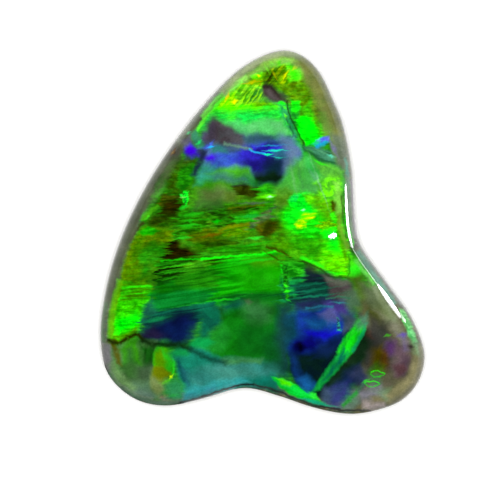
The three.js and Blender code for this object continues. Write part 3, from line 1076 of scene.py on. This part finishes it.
# %% Teal along the lower edge
haze("teal ground", ("#12745c", "#148064"),
     [(173, 356), (180, 346), (208, 352), (226, 362), (224, 384), (190, 394), (178, 378)], 2.5)
haze("green head of the teal", ("#0e8440", "#128c44"),
     [(172, 352), (178, 347), (190, 350), (186, 358), (176, 358)], 2.5)
haze("teal haze", ("#28786c", "#348478"),
     [(190, 374), (212, 364), (226, 360), (262, 360), (282, 374), (262, 384), (230, 392), (194, 390)], 4)
haze("pale teal haze", ("#3c8874", "#448c78"),
     [(206, 370), (226, 364), (252, 364), (256, 376), (220, 382)], 6, 0.6)
haze("dark end of the haze", ("#145040", "#185848"), [(262, 362), (280, 366), (290, 378), (270, 376)], 4,
     0.8)
haze("cyan foot", ("#249490", "#309c98"),
     [(186, 390), (212, 384), (246, 378), (262, 382), (226, 394), (186, 404)], 3)
haze("blue tint", ("#30848c", "#348c94"), [(202, 388), (214, 387), (214, 395), (204, 397)], 3)
haze("blue tint", ("#287c80", "#2c8484"), [(184, 394), (196, 393), (198, 402), (182, 404)], 3)
line("dark teal line", ("#084448",), [(177, 360), (181, 370), (185, 382)], 4, edge=2.5, strength=0.85)
haze("blue grey", ("#1c5c64", "#20646c"), [(183, 370), (190, 370), (192, 388), (186, 388)], 3, 0.8)
haze("green grey line", ("#34743c", "#3c7c40"),
     [(222, 360), (240, 357), (262, 357), (260, 362), (226, 365)], 2, 0.8)
haze("deep teal", ("#0a7460", "#0c7c64"), [(246, 378), (268, 374), (280, 384), (276, 390), (258, 386)], 3)
haze("dark blue teal", ("#086450", "#0a6c54"), [(260, 384), (272, 382), (284, 392), (274, 393)], 2.5)
tell("teal along the lower edge")

# %% The crack of the lobe
line("crack of the lobe", ("#1c2400",), [(106, 340), (119, 344), (127, 338), (137, 334), (144, 340)], 4,
     edge=2)
line("crack of the lobe", ("#0a2406",), [(141, 340), (152, 344), (178, 345), (192, 350)], 5, edge=2.5,
     strength=0.9)
line("crack of the lobe", ("#0c4030",), [(190, 349), (202, 355), (214, 361), (226, 363)], 5, edge=3,
     strength=0.85)
tell("the crack of the lobe")

# %% [markdown]
# ## The blue hollow and the right lobe
#
# The lower right holds a deep blue hollow, two long green blades with pointed ends and, on the lobe, a
# brown and mauve haze with two small ring-shaped flashes.

# %% Flashes of the blue hollow
haze("teal band", ("#103c38", "#14443c"), [(276, 306), (291, 303), (291, 372), (280, 374)], 4)
haze("hollow below", ("#04141c", "#061c18"),
     [(290, 342), (345, 328), (366, 330), (352, 375), (330, 400), (300, 396), (290, 372)], 3)
haze("blue hollow", ("#0c2870", "#123490"),
     [(289, 316), (298, 308), (330, 304), (352, 312), (350, 326), (330, 344), (305, 351), (290, 350)], 4)
haze("dark head of the hollow", ("#142438", "#1c2448"), [(294, 300), (334, 298), (334, 304), (296, 309)], 3)
haze("slate left of it", ("#0a3c48", "#0c4454"), [(285, 318), (296, 310), (298, 338), (286, 346)], 4, 0.9)
haze("teal blue", ("#104c84", "#145484"), [(306, 322), (322, 315), (332, 322), (312, 330)], 4)
haze("bright blue", ("#0c0ca4", "#1414c4"), [(305, 334), (322, 328), (338, 331), (328, 337), (308, 340)],
     2.5)
haze("deep navy", ("#05054c", "#070764"), [(293, 340), (312, 337), (328, 340), (314, 350), (294, 352)], 3)
haze("navy slope", ("#081840", "#0c2048"), [(318, 344), (340, 336), (344, 340), (334, 354), (314, 356)],
     3.5)
haze("black core", ("#00000c", "#040418"), [(294, 344), (301, 341), (306, 347), (300, 352)], 2.5)
haze("purple", ("#2c285c", "#3c3074"), [(326, 303), (346, 299), (354, 307), (346, 316), (330, 314)], 3)
haze("lilac", ("#4c5088", "#545890"), [(320, 313), (334, 310), (337, 319), (326, 322)], 2.5, 0.9)
haze("slate", ("#243850", "#30485c"), [(339, 314), (354, 311), (352, 326), (343, 332)], 2)
haze("grey of the slate", ("#3c4c54", "#444c58"), [(346, 316), (356, 318), (352, 332), (344, 332)], 3, 0.8)
haze("dark over the blade", ("#34343c", "#3c3c48"), [(357, 309), (367, 309), (364, 320), (356, 318)], 2.5,
     0.85)
haze("green grey over the hollow", ("#48684c", "#506c50"),
     [(342, 292), (356, 292), (362, 304), (352, 310), (344, 300)], 3, 0.85)
flash("mint specks", ("#1c4048", "#289c78"), [(337, 317), (339, 317), (341, 331), (337, 331)], "sparks",
      1.2, 0, 0.8)
splinter("mint speck", ("#28a880",), (337, 330), (341, 329.5), 1.8)
line("teal arc", ("#206c84",), [(306, 308.5), (318, 306.5), (333, 307)], 1.4, edge=1.4)
splinter("teal thread", ("#2c7880",), (332, 302), (346, 303), 1.6)
line("green thread", ("#2c7050",), [(326, 298), (338, 297), (350, 298)], 1.2, edge=1.2, strength=0.8)
splinter("teal thread", ("#107050",), (286, 299.5), (336, 293.5), 2, edge=1.2)
splinter("teal thread", ("#107050",), (288, 293.5), (332, 287.5), 2, edge=1.2)
splinter("teal thread", ("#0e6448",), (290, 287.5), (326, 282.5), 2, edge=1.2)
haze("blue by the foot", ("#0a2450", "#0c3064"),
     [(291, 350), (297, 352), (301, 375), (306, 388), (295, 378)], 2.6)
haze("light blue foot", ("#104c84", "#145890"), [(299, 382), (306, 376), (314, 386), (308, 393)], 3)
tell("flashes of the blue hollow")

# %% Flashes of the right lobe
haze("lobe olive", ("#505030", "#5c5c3c"),
     [(362, 300), (386, 290), (412, 320), (426, 350), (424, 386), (392, 412), (352, 414), (362, 350)], 3)
haze("olive head of the lobe", ("#444c20", "#4c5420"),
     [(366, 296), (384, 296), (394, 318), (382, 326), (368, 316)], 4)
haze("grey green of the lobe", ("#4c5c3c", "#546444"),
     [(362, 286), (374, 286), (388, 306), (376, 308), (366, 300)], 4)
haze("pale head of the lobe", ("#84886c", "#8c8c78"),
     [(382, 314), (396, 318), (409, 334), (407, 344), (394, 330)], 4, 0.8)
haze("dark ground of the lobe", ("#30302c", "#3c3c34"),
     [(360, 334), (372, 318), (386, 326), (398, 350), (394, 372), (370, 372), (356, 352)], 4)
haze("grey of the lobe", ("#343830", "#3c3c34"), [(374, 322), (390, 320), (392, 338), (378, 340)], 3, 0.8)
haze("red speck", ("#4c2c20", "#503424"), [(364, 332), (369, 331), (370, 338), (365, 338)], 1.8, 0.7)
haze("gold brown", ("#3c3400", "#483c00"), [(371, 348), (380, 345), (384, 358), (380, 368), (372, 364)], 3)
haze("brown", ("#443008", "#4c340c"), [(381, 350), (386, 350), (392, 366), (386, 372), (380, 364)], 2.5)
haze("purple of the lobe", ("#442850", "#503060"),
     [(384, 344), (396, 341), (400, 354), (390, 358), (385, 352)], 3)
haze("mauve", ("#54404c", "#645058"), [(395, 344), (408, 342), (412, 362), (406, 380), (396, 376)], 4)
haze("mauve dot", ("#54383c", "#5c4044"), [(396, 366), (404, 364), (408, 371), (400, 376)], 2)
haze("lilac streak of the lobe", ("#605474", "#645c74"), [(399, 334), (406, 336), (410, 350), (405, 350)],
     2.5, 0.8)
splinter("violet dot", ("#6450a8",), (399, 336), (408, 335), 5, edge=2.5)
haze("olive below the rings", ("#50503c", "#585444"), [(380, 376), (392, 372), (398, 384), (384, 390)],
     3.5, 0.9)
haze("green round the rings", ("#305c34", "#386440"),
     [(364, 378), (372, 368), (382, 376), (380, 388), (368, 390)], 3, 0.8)
haze("mauve grey", ("#74747c", "#7c7c84"), [(350, 392), (380, 386), (384, 396), (362, 402)], 4)
haze("green grey of the foot", ("#587868", "#608070"),
     [(342, 402), (356, 396), (360, 404), (352, 411), (342, 410)], 3, 0.7)
haze("pink grey", ("#a89c98", "#b0a49c"), [(364, 403), (386, 401), (384, 409), (366, 411)], 2.5)
haze("olive yellow foot", ("#686430", "#706c3c"), [(372, 398), (384, 397), (388, 402), (374, 404)], 3, 0.8)
haze("green grey foot", ("#608458", "#6c9468"), [(378, 392), (390, 389), (394, 395), (386, 400)], 4, 0.75)
line("tan rim of the lobe", ("#86825a",), [(420, 348), (418, 364), (412, 380), (400, 392), (388, 399)], 9,
     edge=4)
tell("flashes of the right lobe")

# %% The two blades
haze("blades' ground", ("#0c2410", "#142c18"),
     [(361, 330), (366, 330), (369, 348), (362, 370), (348, 376), (326, 392), (340, 362)], 3)
haze("navy foot", ("#0c1c44", "#142450"), [(334, 388), (346, 374), (358, 366), (364, 376), (350, 392)], 4)
haze("purple blue foot", ("#2c3870", "#343c78"),
     [(324, 404), (330, 390), (348, 384), (350, 396), (336, 408)], 4)
haze("grey blue foot", ("#384c64", "#3c5068"),
     [(320, 398), (326, 388), (334, 392), (330, 406), (322, 404)], 3)
haze("slate of the foot", ("#24304c", "#2c3450"), [(350, 374), (362, 364), (368, 374), (360, 386)], 3.5)
flash("upper blade", ("#0cac18", "#1ccc20"),
      [(359, 320), (366, 326), (360, 340), (350, 356), (341, 360), (337, 352), (344, 338)], "upright", 2)
flash("lower blade", ("#0a8434", "#109c38"),
      [(344, 346), (351, 354), (334, 374), (320, 390), (311, 393), (318, 382), (330, 364)], "upright", 2)
flash("blade's dark side", ("#066448", "#087040"),
      [(324, 380), (336, 362), (344, 350), (346, 356), (332, 374)],
      "upright", 2)
line("blade's teal edge", ("#0c9058",), [(366, 322), (362, 334), (352, 352)], 3, edge=1.8, strength=0.85)
splinter("blade's light", ("#10e010",), (345, 352), (358, 330), 5, edge=2)
haze("hazy tip", ("#44785c", "#4c8464"), [(355, 325), (360, 316), (368, 313), (367, 323), (360, 331)], 2.5,
     0.85)
line("small blade", ("#2c8c38",), [(343, 407), (350, 400), (358, 391)], 3.6, edge=1.8)
line("small blade", ("#3c6c50",), [(358, 391), (366, 383)], 3.4, edge=1.8, strength=0.8)
flash("great leaf", ("#04c028", "#08d43c"),
      [(272, 377), (284, 379), (296, 385), (305, 392), (318, 400), (323, 404), (310, 403), (292, 396),
       (280, 388)],
      "falling", 1.4)
flash("lime of the leaf", ("#40e400", "#60ec00"),
      [(277, 379), (285, 380), (293, 385), (289, 387), (282, 384)],
      "falling", 1.8)
splinter("lime end", ("#28f038",), (308, 392), (320, 401), 6.5, edge=1.6)
splinter("gap of the leaf", ("#105c78",), (300, 386), (310, 394), 3, edge=1.2)
splinter("teal under the leaf", ("#18b480",), (296, 399), (334, 407.5), 5, edge=2)
splinter("green dash", ("#3c9020",), (385, 336.5), (391, 334.5), 3, edge=1.4)
tell("the two blades")

# %% Ring flashes
ring_middle = (377.5, 374)
lower_ring_middle = (372.5, 384)
haze("haze over the rings", ("#305c00", "#3c6800"),
     [(370, 371), (376, 364), (386, 368), (384, 374), (372, 374)], 3, 0.9)
for x, y in (ring_middle, lower_ring_middle):
    line("ring flash", ("#28e818",),
         [(x - 7, y - 0.5), (x - 4, y - 2.3), (x + 1, y - 2.6), (x + 5, y - 1.6), (x + 7.5, y)],
         0.6, edge=0.8)
    line("ring flash", ("#20c018",),
         [(x - 7, y + 0.5), (x - 3, y + 2.6), (x + 3, y + 2.4), (x + 7.5, y + 0.5)], 0.6, edge=0.8)
splinter("tail of the ring", ("#30b030",), (363, 383), (369, 379.5), 2.4, edge=1.2)
tell("ring flashes")

# %% [markdown]
# ## The rim
#
# Where the face rolls over to the girdle the colour bars end, and what shows is potch: opal whose spheres
# lie in no order, grey and slightly milky. On the left it is grey, at the top right olive, along the waist
# teal, and on the right lobe tan. A few lines here are painted light instead: a painted sheen along the top
# edge, painted glow and reflection beside the highlights on the right, and painted shade along the foot.

# %% Flashes of the rim
line("green grey inside the rim", ("#4c5c38",), [(208, 104), (180, 148), (156, 192), (142, 212)], 6,
     edge=4, strength=0.8)
line("grey rim", ("#525a42",),
     [(222, 86), (196, 116), (174, 146), (152, 178), (136, 212), (122, 246),
      (112, 276), (104, 306)], 12, edge=3)
line("grey rim", ("#486840",), [(104, 302), (101, 324), (102, 344)], 6, edge=3)
line("lit outer edge", ("#5cb008",), [(120, 280), (114, 300), (110, 322), (109, 338)], 5, edge=2.2,
     strength=0.85)
haze("lilac rim", ("#787678", "#7c7c7c"), [(98, 346), (108, 344), (113, 364), (106, 374), (100, 362)], 2)
haze("sand grain ground", ("#4c4c40", "#505044"), [(166, 156), (172, 146), (182, 144), (178, 158)], 2.5)
splinter("sand grain", ("#5a3c08",), (171, 156), (175, 147), 4.5, edge=1.2)
splinter("sand grain light", ("#8c7020",), (171.5, 154), (173.5, 150), 2)
haze("green arch", ("#2c7c58", "#388460"),
     [(190, 133), (196, 130), (202, 136), (204, 143), (199, 147), (194, 140)], 1.6)
haze("mauve under the arch", ("#5c5870", "#686478"), [(182, 139), (190, 135), (194, 141), (186, 144)], 2.2,
     0.85)
splinter("arch spark", ("#24e068",), (196.5, 144), (201, 140), 3.6, edge=1.4)
splinter("arch foot", ("#50b878",), (185, 134), (190, 131), 3, edge=1.2)
# Painted sheen: these four pale lines along the top edge stand in for light on the rolled rim.
line("lit edge of the lime field", ("#78f44c",), [(202, 116), (215, 99), (231, 85), (246, 76)], 4,
     edge=2.6, strength=0.8)
line("sheen of the top", ("#a8d868",), [(226, 92), (244, 78), (262, 67), (276, 62)], 4, edge=4,
     strength=0.5)
line("sheen of the tip", ("#b0e878",), [(282, 60), (294, 60), (303, 65), (309, 74)], 5, edge=3,
     strength=0.6)
line("lit edge of the tip", ("#a4dc5c",), [(260, 63), (276, 57), (292, 57), (303, 65)], 4, edge=3,
     strength=0.75)
line("pale rim of the upper left", ("#808878",), [(176, 140), (186, 126), (205, 101), (226, 82)], 6,
     edge=3, strength=0.9)
line("olive of the top's rim", ("#96a870",), [(222, 92), (240, 72), (262, 57), (286, 51), (302, 54)], 7,
     edge=3.5)
line("olive right flank", ("#7c8440",), [(300, 58), (313, 76), (325, 100), (334, 126), (342, 150)], 14,
     edge=6)
line("grey olive rim", ("#8a9270",), [(306, 50), (322, 66), (336, 92), (347, 122), (353, 150)], 6, edge=3,
     strength=0.9)
haze("light olive", ("#649434", "#74a040"), [(318, 114), (326, 114), (334, 132), (326, 136)], 3, 0.8)
haze("grey olive", ("#647458", "#6c7c64"), [(333, 132), (346, 136), (352, 168), (342, 170), (334, 156)], 3)
splinter("lilac streak", ("#7c7ca0",), (331, 142), (337, 154), 4, edge=2.4)
line("rim teal", ("#48a890",), [(346, 158), (348, 172), (349, 186)], 2.6, edge=1.8, strength=0.75)
line("grey teal rim", ("#6c8c6c",), [(348, 176), (350, 196), (351, 216), (354, 238)], 5, edge=2.5,
     strength=0.9)
line("lime beside the blade", ("#84dc48",), [(337, 182), (339, 200), (339.5, 214)], 6, edge=2.5,
     strength=0.85)
line("olive beside the blade", ("#74a828",), [(339.5, 214), (341, 228), (348, 250)], 4, edge=2.4,
     strength=0.85)
line("dark edge of the blade", ("#304810",), [(342, 196), (343, 216), (347, 238)], 1.6, edge=1.2,
     strength=0.75)
# Partly milky potch, partly a painted reflection of the white paper in the steep waist.
line("lilac rim and painted reflection of the waist", ("#7c7880",), [(353, 178), (355, 200), (356, 220), (359, 238)], 5, edge=2)
splinter("rim fleck", ("#40d838",), (350, 227), (352, 242), 2.2)
splinter("rim fleck", ("#40c830",), (352.5, 236), (354, 248), 2.2)
line("seam beside the green foot", ("#1c6c08",), [(349.5, 255), (350, 266), (348.5, 277)], 1, edge=1,
     strength=0.8)
# Painted highlight: a light green line widens the mirrored thread of light.
line("painted green glow of the thread highlight", ("#78e060",), [(357, 260), (365, 271), (375, 284)], 3.4, edge=2.5,
     strength=0.8)
# Painted glow: a pale line beside the lower blade of mirrored light.
line("painted glow beside the lower highlight", ("#a0ac94",), [(375, 287), (384, 302), (395, 320)], 4, edge=3,
     strength=0.85)
line("teal rim of the flank", ("#62a088",), [(358, 250), (366, 262), (380, 282), (396, 304)], 5, edge=2.5,
     strength=0.9)
line("grey line of the flank", ("#747c78",), [(360, 244), (372, 260), (388, 282), (404, 304)], 3.4,
     edge=1.6)
haze("olive inside the highlight", ("#68784c", "#748458"),
     [(372, 284), (382, 294), (398, 322), (388, 320), (376, 302)], 3, 0.9)
flash("rim flash", ("#50b858", "#80ec80"), [(400, 308), (405, 310), (414, 327), (411, 333), (403, 322)],
      "mottle", 1.8)
flash("rim flash", ("#50b860", "#7ce888"), [(409, 328), (414, 330), (419, 343), (414, 343), (409, 336)],
      "mottle", 1.8)
haze("pale foot of the rim flash", ("#74a474", "#80b080"),
     [(412, 342), (419, 342), (422, 356), (416, 354)], 2.5, 0.8)
splinter("dark dot", ("#342828",), (409, 347), (414, 347), 3.6, edge=1.6)
line("tan rim", ("#7c7858",), [(421, 346), (425, 362), (422, 380), (413, 394), (400, 403)], 4, edge=2.5,
     strength=0.85)
# Painted shade: a dark line along the foot, where the edge turns under.
line("painted shade along the lower edge", ("#141414",), [(176, 405), (200, 399), (222, 391), (240, 385.5), (254, 385)], 2.4,
     edge=1.4)
line("painted shade along the lower edge", ("#2c2c2c",),
     [(254, 385), (270, 389), (292, 398), (314, 406), (340, 411), (372, 412)], 2,
     edge=1.4)
line("grey lower edge", ("#56705c",), [(104, 372), (116, 388), (134, 400), (156, 405), (178, 404)], 4,
     edge=1.8)
line("green of the lobe's foot", ("#6c9458",), [(111, 364), (120, 380), (134, 391)], 7, edge=4,
     strength=0.8)
line("light lower edge", ("#6c8068",), [(108, 370), (119, 385), (136, 396), (152, 400)], 2, edge=1.6,
     strength=0.7)
tell("flashes of the rim")

# %% [markdown]
# ## Potch under the girdle and on the back
#
# Nobody polishes for colour on the back, so there only potch shows. The slope of the surface tells where:
# the cover starts where the edge stands almost upright and is full where the surface turns under.

# %% Potch where the surface stands upright
POTCH_GRAIN = 5 / 3
normal = add(tree, "ShaderNodeNewGeometry").outputs["Normal"]
upward = add(tree, "ShaderNodeSeparateXYZ", None, {0: normal}).outputs["Z"]
potch_cover = add(tree, "ShaderNodeMapRange", {"interpolation_type": "SMOOTHSTEP"},
                  {"Value": upward, "From Min": 0.10, "From Max": -0.20}).outputs[0]
clouding = add(tree, "ShaderNodeTexNoise", None,
               {"Vector": position, "Scale": 1 / (POTCH_GRAIN * MM), "Detail": 4.0})
potch = add(tree, "ShaderNodeMix", {"data_type": "RGBA"},
            {0: clouding.outputs["Fac"], 6: linear("#3c3c38"), 7: linear("#6c6c64")}).outputs[2]

# %% [markdown]
# Haze and potch aren't even either. Wide clouds and fine specks make them a little lighter and darker.

# %% Fine light and shade in the colours
vary("clouds", (0.77, 0.78, 0.78), (1.11, 1.09, 1.11))
vary("specks", (0.88, 0.90, 0.88), (1.10, 1.08, 1.10))
within = add(tree, "ShaderNodeVectorMath", {"operation": "MINIMUM"},
             {0: laid["colour"], 1: (1.0, 1.0, 1.0)}).outputs[0]
skin_colour = add(tree, "ShaderNodeMix", {"data_type": "RGBA"},
                  {0: potch_cover, 6: within, 7: potch}).outputs[2]

# %% [markdown]
# ## How strongly the rim mirrors
#
# The rolled edge mirrors the white paper it lies on, as a pale sheen. In the photo the sheen shows along
# the top and the right, and hardly on the left and at the foot. So the strength of the reflection is
# made to follow the side that the surface faces, from nothing to the usual level.

# %% The strength of the reflection
LIT_SIDE = (0.50, 0.85, 0)
facing = add(tree, "ShaderNodeVectorMath", {"operation": "DOT_PRODUCT"}, {0: normal, 1: LIT_SIDE})
shine = add(tree, "ShaderNodeMapRange", None,
            {"Value": facing.outputs["Value"], "From Min": -0.72, "From Max": 0.4,
             "To Min": 0.0, "To Max": 0.55}).outputs[0]

# %% [markdown]
# ## The polish
#
# Opal has a low refractive index, 1.45, and takes a glassy polish, so its reflections are sharp and weak.
# A hand polish leaves a faint wave, which a very low bump gives to the highlights.

# %% The polished surface
WAVE_SIZE = 2.5
WAVE_HEIGHT = 0.002
wave = add(tree, "ShaderNodeTexNoise", None,
           {"Vector": position, "Scale": 1 / (WAVE_SIZE * MM), "Detail": 1.0})
polish = add(tree, "ShaderNodeBump", None,
             {"Height": wave.outputs["Fac"], "Distance": WAVE_HEIGHT * MM, "Strength": 1.0})
surface = add(tree, "ShaderNodeBsdfPrincipled", None,
              {"Base Color": skin_colour, "Roughness": 0.03, "IOR": 1.45, "Specular IOR Level": shine,
               "Normal": polish.outputs[0]})
add(tree, "ShaderNodeOutputMaterial", None, {"Surface": surface.outputs[0]})
stone_mesh.materials.append(opal)
print(len(tree.nodes), "nodes in the stone's material")

# %% [markdown]
# ## Floor, light and camera
#
# The stone was photographed on white under soft light. A faint light comes from all round, as from the
# walls of a light tent. Its roof, where the camera looks in, is dark. The dark roof keeps the colours
# deep, because only it mirrors in the flat of the face.

# %% A pale floor
FLOOR_SIZE = 1.5
bpy.ops.mesh.primitive_plane_add(size=FLOOR_SIZE, location=(0, 0, 0))
floor = bpy.context.object
floor.name = "floor"
paper = bpy.data.materials.new("white_paper")
paper.use_nodes = True
paper_shader = paper.node_tree.nodes["Principled BSDF"]
paper_shader.inputs["Base Color"].default_value = linear("#fafaf8")
paper_shader.inputs["Roughness"].default_value = 0.9
paper_shader.inputs["Specular IOR Level"].default_value = 0.2
floor.data.materials.append(paper)

# %% The light tent
ROOF_EDGE = 42
ROOF_BLEND = 6
TENT_LIGHT = 0.15


def tent():
    world = bpy.data.worlds.new("light_tent")
    world.use_nodes = True
    sky = world.node_tree
    sky.nodes.clear()
    direction = add(sky, "ShaderNodeTexCoord").outputs["Generated"]
    parts = add(sky, "ShaderNodeSeparateXYZ", None, {0: direction}).outputs
    wall = add(sky, "ShaderNodeMapRange", {"interpolation_type": "SMOOTHSTEP"},
               {"Value": parts["Z"], "From Min": math.cos(math.radians(ROOF_EDGE - ROOF_BLEND)),
                "From Max": math.cos(math.radians(ROOF_EDGE + ROOF_BLEND)), "To Min": 0.0,
                "To Max": TENT_LIGHT})
    light = add(sky, "ShaderNodeBackground", None, {"Color": (1, 1, 1, 1), "Strength": wall.outputs[0]})
    add(sky, "ShaderNodeOutputWorld", None, {"Surface": light.outputs[0]})
    return world


bpy.context.scene.world = tent()
bpy.context.scene.view_settings.view_transform = "Standard"
print("tent light", TENT_LIGHT)

# %% [markdown]
# A softbox hangs over the camera and gives most of the light. It is kept out of the reflections, as a
# photographer does with crossed polarisers, because it would lay a white veil over the dark colours.

# %% The softbox overhead
SOFTBOX_SIZE = 0.15
SOFTBOX_HEIGHT = 0.4
SOFTBOX_LIGHT = 1.27


def softbox():
    lamp = bpy.data.lights.new("softbox", "AREA")
    lamp.shape = "SQUARE"
    lamp.size = SOFTBOX_SIZE
    lamp.energy = SOFTBOX_LIGHT * math.pi ** 2 * SOFTBOX_HEIGHT ** 2
    holder = bpy.data.objects.new("softbox", lamp)
    holder.location = (camera_x * MM, camera_y * MM, SOFTBOX_HEIGHT)
    holder.visible_glossy = False
    bpy.context.scene.collection.objects.link(holder)
    return lamp.energy


print("softbox", round(softbox(), 2), "W")

# %% [markdown]
# Two thin blades of white lie on the right shoulder with a thread between them, and one small window on the
# sheet of green. They are mirror images of lamps. A mirror image lies where the normal halves the angle
# between the camera and the lamp. These lamps are small and stand just outside the picture, because a far
# lamp would mirror all along the shoulder. A grid in front of each lets its light out in one direction
# only. They light nothing else: so near, they would burn out the floor.

# %% Lamps that mirror in the polish
def mirrored_lamp(name, place, size, aim, grid, radiance, lean=0):
    """An oval lamp: its place, size and aim in mm, the opening of its grid and its lean in degrees."""
    lamp = bpy.data.lights.new(name, "AREA")
    lamp.shape = "ELLIPSE"
    lamp.size = size[0] * MM
    lamp.size_y = size[1] * MM
    lamp.spread = math.radians(grid)
    half = lamp.spread / 2
    gathered = math.tan(half) / (math.tan(half) - half)
    lamp.energy = radiance * math.pi * (math.pi / 4 * lamp.size * lamp.size_y) / gathered
    holder = bpy.data.objects.new(name, lamp)
    holder.location = Vector(place) * MM
    away = Vector(place) - Vector(aim)
    turn = away.to_track_quat("Z", "Y") @ Quaternion((0, 0, 1), math.radians(lean))
    holder.rotation_euler = turn.to_euler()
    holder.visible_camera = False
    holder.visible_diffuse = False
    bpy.context.scene.collection.objects.link(holder)
    print(name, "lamp,", size[0], "by", size[1], "mm")


mirrored_lamp("upper_blade", (24, 2.7, 3.0), (5.6, 6.2), (5.7, 0.1, 3.6), 44, 60)
mirrored_lamp("lower_blade", (24, 3.7, 6.8), (4.7, 11.4), (5, -14, 6), 54, 80, lean=16)
mirrored_lamp("thread", (24, 7.9, 5.2), (3.2, 1.6), (5, -7, 4), 56, 20)
mirrored_lamp("window", (9.1, 0.80, 14), (0.24, 2.2), (4.75, -0.33, 4.1), 120, 110, lean=-4)

# %% [markdown]
# The camera looks straight down through a long lens, which hardly foreshortens the stone.

# %% The camera, straight above
eye = bpy.data.cameras.new("camera")
eye.lens = LENS
eye.sensor_width = SENSOR
eye.clip_start = 0.01
eye.clip_end = 10
camera = bpy.data.objects.new("camera", eye)
camera.location = Vector((camera_x, camera_y, camera_height + GIRDLE_HEIGHT)) * MM
bpy.context.scene.collection.objects.link(camera)
bpy.context.scene.camera = camera
print("camera at", [round(value, 4) for value in camera.location])
